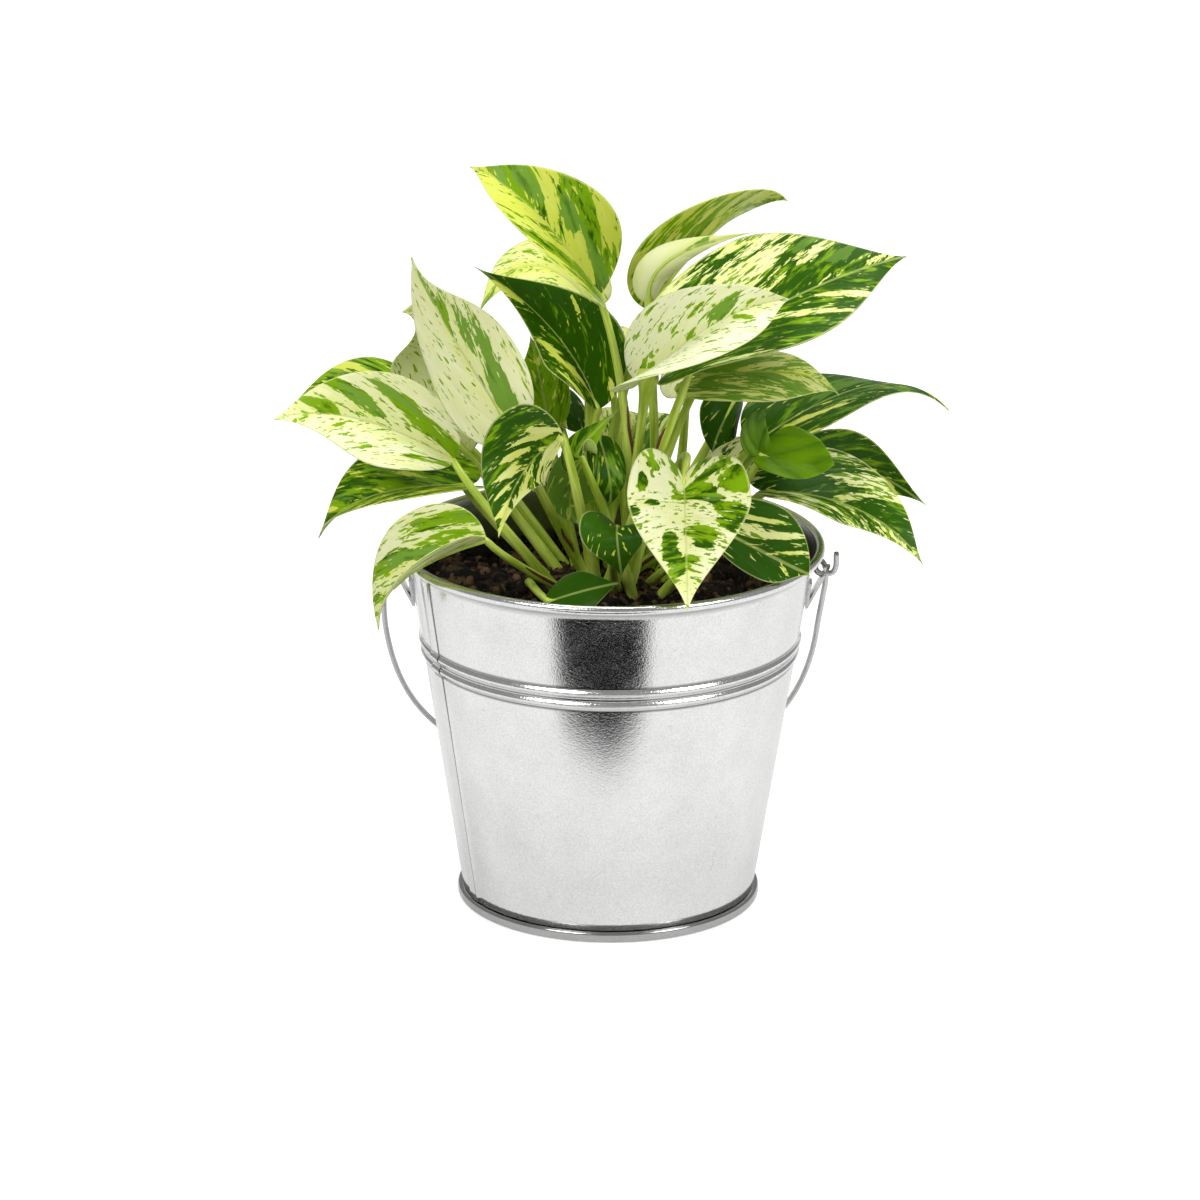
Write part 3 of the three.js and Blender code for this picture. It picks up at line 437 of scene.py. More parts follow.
def round_rod(path, radii, sides):
    # rings of vertices along a path, carried along without twisting, and closed at both ends
    along = np.gradient(path, axis=0)
    along /= np.linalg.norm(along, axis=1, keepdims=True)
    across = np.cross(along[0], (0.1, 0.2, 0.97))
    vertices, faces = [], []
    for i, (point, way) in enumerate(zip(path, along)):
        across = across - way * (across @ way)
        across /= np.linalg.norm(across)
        other = np.cross(way, across)
        for k in range(sides):
            turn = 2 * math.pi * k / sides
            vertices.append(point + radii[i] * (across * math.cos(turn) + other * math.sin(turn)))
    for i in range(len(path) - 1):
        for k in range(sides):
            a, b = i * sides + k, i * sides + (k + 1) % sides
            faces.append((a, b, b + sides, a + sides))
    faces.append(tuple(range(sides))[::-1])
    faces.append(tuple((len(path) - 1) * sides + k for k in range(sides)))
    return vertices, faces


wire_path = smooth_path(wire_knots, 5)
wire_radii = np.full(len(wire_path), wire_radius)
wire_radii[[0, -1]] = wire_radius * 0.8
# the wire is darkened a little all over
wire_metal = zinc_paint("bail_wire", 0.3, 0.8, 0.03, shade_darkening=0.3)
bail = add_piece("zinc_bail", *round_rod(wire_path, wire_radii, wire_sides), [wire_metal])
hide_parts("bail")
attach(bail, "bail")

# The potting soil: coarse, dark peat in crumbs and clods, with gaps between them, 15 mm below the rim.
# It fills the bucket, and every stalk stands in it.
soil_top = 101
soil_gap = 0.35
clod_count, clod_sizes = 520, (2.2, 6.5)
crumb_count, crumb_sizes = 2600, (0.6, 1.7)
rng = np.random.default_rng(11)
soil_edge = wall_radius(soil_top) - sheet - soil_gap
ring_count, soil_sides = 190, 400
soil_shares = np.linspace(0, 1, ring_count + 1)[1:] ** 0.75
soil_turns = 2 * math.pi * np.arange(soil_sides) / soil_sides
soil_x = np.concatenate([[0], (soil_shares[:, None] * soil_edge * np.cos(soil_turns)).ravel()])
soil_y = np.concatenate([[0], (soil_shares[:, None] * soil_edge * np.sin(soil_turns)).ravel()])
soil_rise = 0.7 * np.sin(soil_x / 9 + 1) * np.cos(soil_y / 8) - 2.4
soil_tone = np.full(len(soil_x), 0.15)


def heap(count, sizes, flatness, drop):
    # rounded lumps pressed into the surface: each raises what lies under it to its own dome
    for reach, turn, share, high, tone in rng.uniform(0, 1, (count, 5)):
        size = sizes[0] + (sizes[1] - sizes[0]) * share ** 2
        away = (soil_edge - size * 0.5) * math.sqrt(reach)
        aside_x, aside_y = soil_x - away * math.cos(2 * math.pi * turn), soil_y - away * math.sin(2 * math.pi * turn)
        stretch = 0.75 + 0.5 * tone
        near = (aside_x * stretch) ** 2 + (aside_y / stretch) ** 2
        under = near < size * size
        centre = soil_rise[under].mean() if under.any() else 0
        dome = centre * 0.6 + drop + flatness * np.sqrt(size * size - near[under]) + high * 0.8 - 0.9
        raised = dome > soil_rise[under]
        chosen = np.flatnonzero(under)[raised]
        soil_rise[chosen] = dome[raised]
        soil_tone[chosen] = tone ** 1.6


heap(clod_count, clod_sizes, 0.5, -0.9)
heap(crumb_count, crumb_sizes, 0.8, 0.3)
soil_rise = np.minimum(soil_rise, 1.8) + rng.uniform(-0.12, 0.12, len(soil_x))
at_edge = np.hypot(soil_x, soil_y) > soil_edge - 0.6
soil_rise[at_edge] = np.minimum(soil_rise[at_edge], 0)
soil_foot = wall_radius(wall_foot[0]) - sheet - soil_gap
soil_low = wall_foot[0] + soil_gap
soil_points = np.concatenate([
    np.stack([soil_x, soil_y, soil_top + soil_rise], 1),
    np.stack([soil_foot * np.cos(soil_turns), soil_foot * np.sin(soil_turns), np.full(soil_sides, soil_low)], 1),
    [[0, 0, soil_low]],
])
soil_faces = [(0, 1 + k, 1 + (k + 1) % soil_sides) for k in range(soil_sides)]
for ring in range(ring_count):
    for k in range(soil_sides):
        a, b = 1 + ring * soil_sides + k, 1 + ring * soil_sides + (k + 1) % soil_sides
        soil_faces.append((a, a + soil_sides, b + soil_sides, b))
last_ring = 1 + ring_count * soil_sides
soil_faces.extend(
    (last_ring + k, len(soil_points) - 1, last_ring + (k + 1) % soil_sides) for k in range(soil_sides))
wet_peat, dry_peat = (0.006, 0.003, 0.0015, 1), (0.15, 0.085, 0.04, 1)
peat, t, sockets = new_paint("peat", {"Specular IOR Level": 0.25})
crumb_tone = shader_node(t, "ShaderNodeAttribute", attribute_name="crumb_tone").outputs["Fac"]
fibre = body_noise(t, 0.9, 4.0, 0.7)
brown = maths(t, "MULTIPLY_ADD", maths(t, "SUBTRACT", fibre, 0.5), 0.9, crumb_tone, clamp=True)
t.links.new(blend(t, step_up(t, brown, 0.2, 0.95), wet_peat, dry_peat), sockets["Base Color"])
t.links.new(maths(t, "MULTIPLY_ADD", fibre, -0.3, 1.0), sockets["Roughness"])
t.links.new(shader_node(t, "ShaderNodeBump", {
    "Strength": 1.0, "Distance": 0.5 * MM, "Height": fibre}).outputs[0], sockets["Normal"])
soil = add_piece("peat_plug", soil_points, soil_faces, [peat], smooth=False)
soil.data.attributes.new("crumb_tone", "FLOAT", "POINT").data.foreach_set(
    "value", np.concatenate([soil_tone, np.full(soil_sides + 1, 0.1)]).astype(np.float32))
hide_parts("soil")
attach(soil, "bucket")

# The leaves: 35 waxy blades, each grown as one piece with its stalk, which goes on as the midrib.
# They spring from the soil in one clump and lean out all round, and some hang over the rim.

# Each row is one leaf, in mm and degrees. base, mid and tip are points of the midrib; faces is where the upper
# side looks, as an azimuth from the front towards the right and a height above level; left and right are half
# widths; fold is how far each half is turned up from the midrib at the base and at the tip; cup bends the
# margins down, and twist turns the blade. lobe and taper shape the outline at the stalk and at the tip.
# foot is where the stalk leaves the soil, thick is its radius there, rise is the way that it sets out, and join
# is the way from the blade back into it.
leaves = [
    dict(name="leaf_top", base=[-4, 6, 192], mid=[-24, -12, 223.5], tip=[-43.5, -1.5, 234.5],
         faces=[34, 30], left=19.5, right=16, fold=[28, 25], cup=-5, twist=-28, lobe=0, taper=0.15,
         foot=[6, 7], thick=1.9, rise=[2, -1.5, 36], join=[8, 0, -23]),
    dict(name="leaf_behind_top", base=[-7.5, 28.5, 185], mid=[-26.5, 38.5, 192.5], tip=[-41.5, 30.5, 179.5],
         faces=[-30, 54], left=12, right=13, fold=[8, 8], cup=2, twist=0, lobe=0.08, taper=0.12,
         foot=[-5, 16], thick=1.9, rise=[-2, 8.5, 57.5], join=[0, -2, -16]),
    dict(name="leaf_dark_middle", base=[-4.5, 12.5, 154.5], mid=[-18.5, 23.5, 176], tip=[-42.5, 14, 199],
         faces=[22, 20], left=19, right=20.5, fold=[55, 30], cup=1.3, twist=21, lobe=0.03, taper=0.02,
         foot=[-6, 11.5], thick=1.9, rise=[-2.5, 1, 40], join=[-4.5, 0, -22.5]),
    dict(name="leaf_upper_right", base=[11, 23.5, 183], mid=[36, 24.5, 213], tip=[54, 29.5, 216.5],
         faces=[49, -41], left=20, right=17.5, fold=[-23, 12], cup=1.5, twist=14, lobe=0, taper=0.12,
         foot=[-7, 22], thick=1.9, rise=[7.5, 4, 50.5], join=[-9.5, 1, -36]),
    dict(name="leaf_curled_cream", base=[11.5, 9, 189.5], mid=[18, 6.5, 204], tip=[44, 10.5, 211.5],
         faces=[9, 11], left=5.5, right=5, fold=[-2, 4], cup=3.4, twist=0, lobe=0, taper=0.12,
         foot=[12, 21], thick=1.9, rise=[3, -1, 27.5], join=[2, 8.5, -48.5]),
    dict(name="leaf_big_right", base=[26, -13, 180], mid=[60.5, -8.5, 198.5], tip=[89.5, -2.5, 207.5],
         faces=[-33, 49], left=27, right=25.5, fold=[32, -6], cup=1.7, twist=8, lobe=0.18, taper=0.11,
         foot=[-2.5, -1.5], thick=1.9, rise=[12.5, -11.5, 38], join=[-7, -12.5, -17]),
    dict(name="leaf_white", base=[11, -18, 173.5], mid=[32.5, -33.5, 195.5], tip=[53.5, -24.5, 200],
         faces=[-10, 37], left=16, right=21.5, fold=[49, 36], cup=-0.8, twist=60, lobe=0.08, taper=0.16,
         foot=[1.5, 4.5], thick=1.9, rise=[5.5, -9, 30.5], join=[-2.5, 5, -17.5]),
    dict(name="leaf_striped", base=[28, -8.5, 171], mid=[56, -11.5, 172.5], tip=[69.5, -8.5, 165],
         faces=[4, 72], left=13.5, right=13.5, fold=[3, 1], cup=1.8, twist=-16, lobe=0.13, taper=0.11,
         foot=[5.5, 2], thick=1.9, rise=[6, -3.5, 26.5], join=[-11, 3, -20]),
    dict(name="leaf_long_tip", base=[43.5, 11.5, 142.5], mid=[80.5, 22.5, 159], tip=[105, 22, 151.5],
         faces=[-80, 74], left=21, right=17.5, fold=[19, -16], cup=1.9, twist=-49, lobe=0, taper=0.1,
         foot=[7.5, 15], thick=1.9, rise=[11.5, -1, 14.5], join=[-9.5, 1, -12]),
    dict(name="leaf_young", base=[46, -10.5, 146.5], mid=[57, -16, 145.5], tip=[68, -21.5, 147],
         faces=[20, 53], left=12, right=9.5, fold=[20, 2], cup=-0.8, twist=9, lobe=0.04, taper=0.75,
         foot=[14, -6], thick=1.9, rise=[13, -8.5, 19], join=[-8.5, -16, -13]),
    dict(name="leaf_young_upper", base=[45.5, 16.5, 140.5], mid=[47, 26.5, 146], tip=[47, 25, 149.5],
         faces=[-36, 5], left=6.5, right=6.5, fold=[9, 9], cup=3.4, twist=7, lobe=0.07, taper=0.12,
         foot=[15.5, 7.5], thick=1.9, rise=[5, 1.5, 7.5], join=[-13.5, -4, -19.5]),
    dict(name="leaf_dark_right", base=[56, 17.5, 133], mid=[76.5, 25.5, 132], tip=[98.5, 21, 121],
         faces=[-9, -16], left=14.5, right=14, fold=[14, 6], cup=2, twist=-3, lobe=0.09, taper=0.11,
         foot=[12.5, 12.5], thick=1.9, rise=[12.5, 1.5, 11.5], join=[-12, -1.5, -10]),
    dict(name="leaf_low_right", base=[48, -11.5, 135], mid=[76.5, -6.5, 127.5], tip=[95.5, -23.5, 116],
         faces=[19, 61], left=17.5, right=17.5, fold=[39, 13], cup=2, twist=-6, lobe=0.1, taper=0.1,
         foot=[2, 14], thick=1.9, rise=[15.5, -8, 15], join=[-13, 7, -10]),
    dict(name="leaf_rim_right", base=[34.5, -40.5, 131], mid=[52, -37, 120.5], tip=[60, -43, 118.5],
         faces=[4, 40], left=15, right=9.5, fold=[10, 8], cup=-0.6, twist=-7, lobe=0.11, taper=0.12,
         foot=[10.5, 8.5], thick=1.5, rise=[8, -17, 14], join=[-4, 3, -1.5]),
    dict(name="leaf_heart", base=[22, -30, 143], mid=[22.5, -51, 133], tip=[23, -73, 116],
         faces=[3, 18], left=22, right=20.5, fold=[34, 15], cup=1.7, twist=8, lobe=0.25, taper=0.07,
         foot=[4, 25.5], thick=1.9, rise=[22, -28.5, 54], join=[2, 36, 3]),
    dict(name="leaf_small_heart", base=[2, -43, 133], mid=[2, -51, 131], tip=[3.5, -47.5, 118.5],
         faces=[-1, 30], left=10, right=12, fold=[24, 8], cup=0.9, twist=6, lobe=0.18, taper=0.11,
         foot=[3, -3], thick=1.9, rise=[-4, -19.5, 18.5], join=[-1, 11, -9.5]),
    dict(name="leaf_soil_front", base=[-18.5, -42, 109], mid=[-8, -46.5, 114], tip=[3, -46, 116.5],
         faces=[0, 54], left=9.5, right=9.5, fold=[5, 4], cup=2, twist=1, lobe=0.09, taper=0.12,
         foot=[-24.5, 6.5], thick=1.5, rise=[-2, -15, 10.5], join=[-5.5, 19.5, -2.5]),
    dict(name="leaf_front_left", base=[-15, -28.5, 157], mid=[-27, -20, 142.5], tip=[-34, -40.5, 129],
         faces=[-25, 26], left=11.5, right=17.5, fold=[31, 14], cup=1, twist=8, lobe=0.04, taper=0.14,
         foot=[-2.5, -10], thick=1.9, rise=[-8.5, -16.5, 42.5], join=[3.5, -3.5, -7.5]),
    dict(name="leaf_edge_on", base=[-9, -18, 147.5], mid=[-8.5, -11.5, 149.5], tip=[2, -12, 161],
         faces=[-40, 30], left=7, right=7, fold=[17, 11], cup=1.5, twist=1, lobe=0.02, taper=0.12,
         foot=[7.5, -7.5], thick=1.9, rise=[-6.5, -9, 28.5], join=[5.5, -3, -13]),
    dict(name="leaf_middle_dark", base=[-4, -5, 150.5], mid=[-0.5, -13, 139], tip=[-1, -13.5, 130.5],
         faces=[23, 13], left=6.5, right=6.5, fold=[14, 17], cup=1.5, twist=1, lobe=0, taper=0.12,
         foot=[-0.5, 19.5], thick=1.9, rise=[-1.5, -14, 42.5], join=[1.5, 10, -7]),
    dict(name="leaf_middle_grey", base=[-8.5, 3, 139.5], mid=[-12.5, 4, 127.5], tip=[-10, -3.5, 121.5],
         faces=[-12, 12], left=8.5, right=8.5, fold=[7, 7], cup=2.2, twist=0, lobe=0.1, taper=0.12,
         foot=[1.5, 30], thick=1.9, rise=[-2.5, -10, 20.5], join=[6, 8, 0.5]),
    dict(name="leaf_left_cream", base=[-32.5, -10.5, 157.5], mid=[-51.5, 2, 185], tip=[-61.5, 2.5, 205],
         faces=[-45, 0], left=19, right=18.5, fold=[7, 10], cup=3.8, twist=-43, lobe=0.07, taper=0.15,
         foot=[-5, 5.5], thick=1.9, rise=[-13, -8.5, 27], join=[9.5, 5, -23]),
    dict(name="leaf_left_low_cream", base=[-49, 8, 138.5], mid=[-79.5, 9, 151.5], tip=[-104, -3.5, 154.5],
         faces=[-8, 36], left=19, right=18.5, fold=[51, 7], cup=2.3, twist=-3, lobe=0.01, taper=0.13,
         foot=[-13.5, -7], thick=1.9, rise=[-15.5, -4, 21.5], join=[7, -17.5, -6.5]),
    dict(name="leaf_left_back_dark", base=[-54, 43, 141], mid=[-79, 36, 153.5], tip=[-99, 35, 149],
         faces=[-13, 61], left=15, right=15, fold=[8, 10], cup=2, twist=-4, lobe=0.1, taper=0.12,
         foot=[-12, 21], thick=1.9, rise=[-19, 6.5, 23.5], join=[20, -14, -13.5]),
    dict(name="leaf_left_back_pale", base=[-51, 27, 142.5], mid=[-55, 25.5, 173.5], tip=[-65, 15, 184],
         faces=[5, 24], left=17, right=15.5, fold=[10, 14], cup=1.7, twist=3, lobe=0.1, taper=0.12,
         foot=[-14, 16.5], thick=1.9, rise=[-17.5, 6, 21.5], join=[24.5, -5, -30]),
    dict(name="leaf_left_low_dark", base=[-46, 13.5, 128.5], mid=[-75, 6.5, 126.5], tip=[-91, 12.5, 111.5],
         faces=[-28, 70], left=16.5, right=18, fold=[28, 27], cup=1.3, twist=-2, lobe=0.1, taper=0.12,
         foot=[-16, 9.5], thick=1.5, rise=[-10.5, 1, 9.5], join=[7.5, -1.5, -9.5]),
    dict(name="leaf_rim_left", base=[-38, -36.5, 127], mid=[-63.5, -30.5, 112], tip=[-71, -25, 94],
         faces=[-37, 60], left=17.5, right=18, fold=[58, 10], cup=1.5, twist=0, lobe=0.01, taper=0.12,
         foot=[-8, -7], thick=1.5, rise=[-7, -6.5, 7], join=[5.5, 5, -8.5]),
    dict(name="leaf_olive", base=[-20, 34, 144], mid=[-22.5, 34, 158], tip=[-25.5, 32, 172],
         faces=[0, 19], left=8.5, right=8.5, fold=[8, 8], cup=2, twist=0, lobe=0.1, taper=0.12,
         foot=[-9.5, 14.5], thick=1.9, rise=[-7, 13, 32], join=[7, -14.5, -34]),
    dict(name="leaf_dark_point", base=[38.5, 26, 154], mid=[33.5, 17, 146], tip=[31.5, 16.5, 139],
         faces=[27, 3], left=8, right=8.5, fold=[4, 12], cup=3.2, twist=5, lobe=0.1, taper=0.12,
         foot=[8.5, 28], thick=1.9, rise=[11.5, 1, 21], join=[-1.5, 5, -4]),
    dict(name="leaf_back_middle", base=[6, 46, 130], mid=[8, 60, 138], tip=[8, 72, 130],
         faces=[162, 71], left=13, right=14, fold=[16, 10], cup=2, twist=0, lobe=0.1, taper=0.12,
         foot=[-4.5, 25.5], thick=1.5, rise=[8, 15.5, 25], join=[-6, -11.5, -18.5]),
    dict(name="leaf_back_low_right", base=[36, 38, 126], mid=[52, 54, 130], tip=[66, 64, 120],
         faces=[146, 68], left=15, right=14, fold=[16, 10], cup=2, twist=0, lobe=0.1, taper=0.12,
         foot=[13.5, 17], thick=1.5, rise=[7, 6.5, 9], join=[-7.5, -7, -9.5]),
    dict(name="leaf_back_low_left", base=[-22, 38, 122], mid=[-38, 54, 126], tip=[-54, 62, 116],
         faces=[-146, 68], left=14, right=15, fold=[16, 10], cup=2, twist=0, lobe=0.1, taper=0.12,
         foot=[-8.5, 26], thick=1.5, rise=[-6, 5, 11], join=[7.5, -7, -14.5]),
    dict(name="leaf_back_left", base=[-16, 44.5, 140], mid=[-30, 58.5, 148], tip=[-46, 68.5, 140],
         faces=[-153, 64], left=16, right=15, fold=[16, 10], cup=2, twist=0, lobe=0.1, taper=0.12,
         foot=[-3.5, 31.5], thick=1.9, rise=[-6.5, 7.5, 23], join=[8, -7.5, -25.5]),
    dict(name="leaf_back_right", base=[24, 42, 152], mid=[38, 58, 160], tip=[52, 70, 152],
         faces=[153, 64], left=15, right=16, fold=[16, 10], cup=2, twist=0, lobe=0.1, taper=0.12,
         foot=[16, 27.5], thick=1.9, rise=[7.5, 12, 36], join=[-2, -4.5, -22.5]),
    dict(name="leaf_back_centre", base=[0, 42, 156], mid=[-6, 58, 166], tip=[-10, 72, 160],
         faces=[180, 66], left=16, right=16, fold=[16, 10], cup=2, twist=0, lobe=0.1, taper=0.12,
         foot=[6, 32], thick=1.9, rise=[-1, 1.5, 10.5], join=[5, -8, -43.5]),
]
# the outline of every blade, as shares of its length, and the small ripple of its margins in mm
lobe_share, lobe_swell, lobe_rise, lobe_tuck = 0.4, 1.6, 0.05, 0.02
widest, shoulder, tip_handle = 0.3, 0.57, 0.8
vein_sweep, root_crowding, twist_pivot = 0.17, 1.6, 0.4
ripple, ripple_waves = 0.35, 9
blade_thickness, margin_thinning = 0.5, 0.55


def bezier(a, b, c, d, t):
    t = np.asarray(t, float)[..., None]
    a, b, c, d = (np.asarray(p, float) for p in (a, b, c, d))
    return (1 - t) ** 3 * a + 3 * t * (1 - t) ** 2 * b + 3 * t * t * (1 - t) * c + t ** 3 * d


def margin(leaf, t):
    # from the stalk (0) round one side to the tip (1): along the blade, out from the rib, root of the side vein
    back_t = np.clip(t / lobe_share, 0, 1)
    front_t = np.clip((t - lobe_share) / (1 - lobe_share), 0, 1)
    back = bezier((0, 0), (-lobe_swell * leaf["lobe"], lobe_rise), (-leaf["lobe"] - lobe_tuck, 1), (widest, 1), back_t)
    front = bezier((widest, 1), (shoulder, 1), (tip_handle, leaf["taper"]), (1, 0), front_t)
    point = np.where((t < lobe_share)[:, None], back, front)
    root = np.where(
        t < lobe_share, (widest - vein_sweep) * back_t ** root_crowding, point[:, 0] - vein_sweep * point[:, 1])
    return point[:, 0], point[:, 1], root


def unit(v):
    return v / np.maximum(np.linalg.norm(v, axis=-1, keepdims=True), 1e-9)


def blade_surface(leaf, along, out):
    base, mid, tip = (np.asarray(leaf[k], float) for k in ("base", "mid", "tip"))
    handle = 2 * mid - (base + tip) / 2
    s = along[..., None]
    rib = (1 - s) ** 2 * base + 2 * s * (1 - s) * handle + s ** 2 * tip
    forward = unit((1 - s) * (handle - base) + s * (tip - handle))
    azimuth, height = np.radians(leaf["faces"])
    faces = np.array([math.cos(height) * math.sin(azimuth), -math.cos(height) * math.cos(azimuth), math.sin(height)])
    side = unit(np.cross(faces, forward))
    up = np.cross(forward, side)
    twist = math.radians(leaf["twist"]) * (s - twist_pivot)
    side, up = side * np.cos(twist) + up * np.sin(twist), up * np.cos(twist) - side * np.sin(twist)
    fold = np.radians(leaf["fold"][0] + (leaf["fold"][1] - leaf["fold"][0]) * np.clip(along, 0, 1))
    width = out * np.where(out > 0, leaf["left"], leaf["right"])
    wave = ripple * np.sin(ripple_waves * along + 2 * leaf["left"] + np.sign(out)) * np.abs(out) ** 3
    lift = np.abs(width) * np.sin(fold) - leaf["cup"] * out ** 2 + wave
    return rib + side * (width * np.cos(fold))[..., None] + up * lift[..., None]


def blade_normal(leaf, along, out, step=0.02):
    lengthwise = blade_surface(leaf, along + step, out) - blade_surface(leaf, along - step, out)
    across = blade_surface(leaf, along, out + step) - blade_surface(leaf, along, out - step)
    return unit(np.cross(lengthwise, across))


def blade_mesh(leaf, rows, half_columns):
    # two faces a sheet apart, closed round the margin, with the vein coordinates of every vertex
    shares = np.linspace(-1, 1, 2 * half_columns + 1)
    t = np.linspace(0, 1, rows + 1)[1:-1]
    edge_along, edge_out, root = margin(leaf, t)
    along = root[:, None] + (edge_along - root)[:, None] * np.abs(shares)
    out = edge_out[:, None] * shares
    roots = np.repeat(root[:, None], len(shares), 1)
    along = np.concatenate([[0], along.ravel(), [1]])
    out = np.concatenate([[0], out.ravel(), [0]])
    sideways = np.concatenate([[0], np.tile(shares, rows - 1), [0]])
    vein = np.stack([np.concatenate([[0], roots.ravel(), [1]]), sideways], 1)
    middle = blade_surface(leaf, along, out)
    normal = blade_normal(leaf, along, out)
    thin = blade_thickness / 2 * (1 - margin_thinning * np.abs(sideways) ** 6)[:, None]
    count, wide = len(middle), len(shares)
    vertices = np.concatenate([middle + normal * thin, middle - normal * thin])
    faces = []

    def corner(row, column):
        # row 0 is the point at the stalk, and the last row is the tip
        return 0 if row == 0 else count - 1 if row == rows else 1 + (row - 1) * wide + column

    for row in range(rows):
        for column in range(wide - 1):
            quad = [corner(row, column), corner(row + 1, column), corner(row + 1, column + 1), corner(row, column + 1)]
            ring = [v for i, v in enumerate(quad) if v != quad[i - 1]]
            faces.append(tuple(ring))
            faces.append(tuple(v + count for v in ring[::-1]))
        for a, b in ((corner(row, 0), corner(row + 1, 0)), (corner(row + 1, wide - 1), corner(row, wide - 1))):
            faces.append((b, a, a + count, b + count))
    under = np.repeat([0.0, 1.0], count)
    return vertices, faces, np.concatenate([vein, vein]), np.tile(along, 2), np.tile(out, 2), under


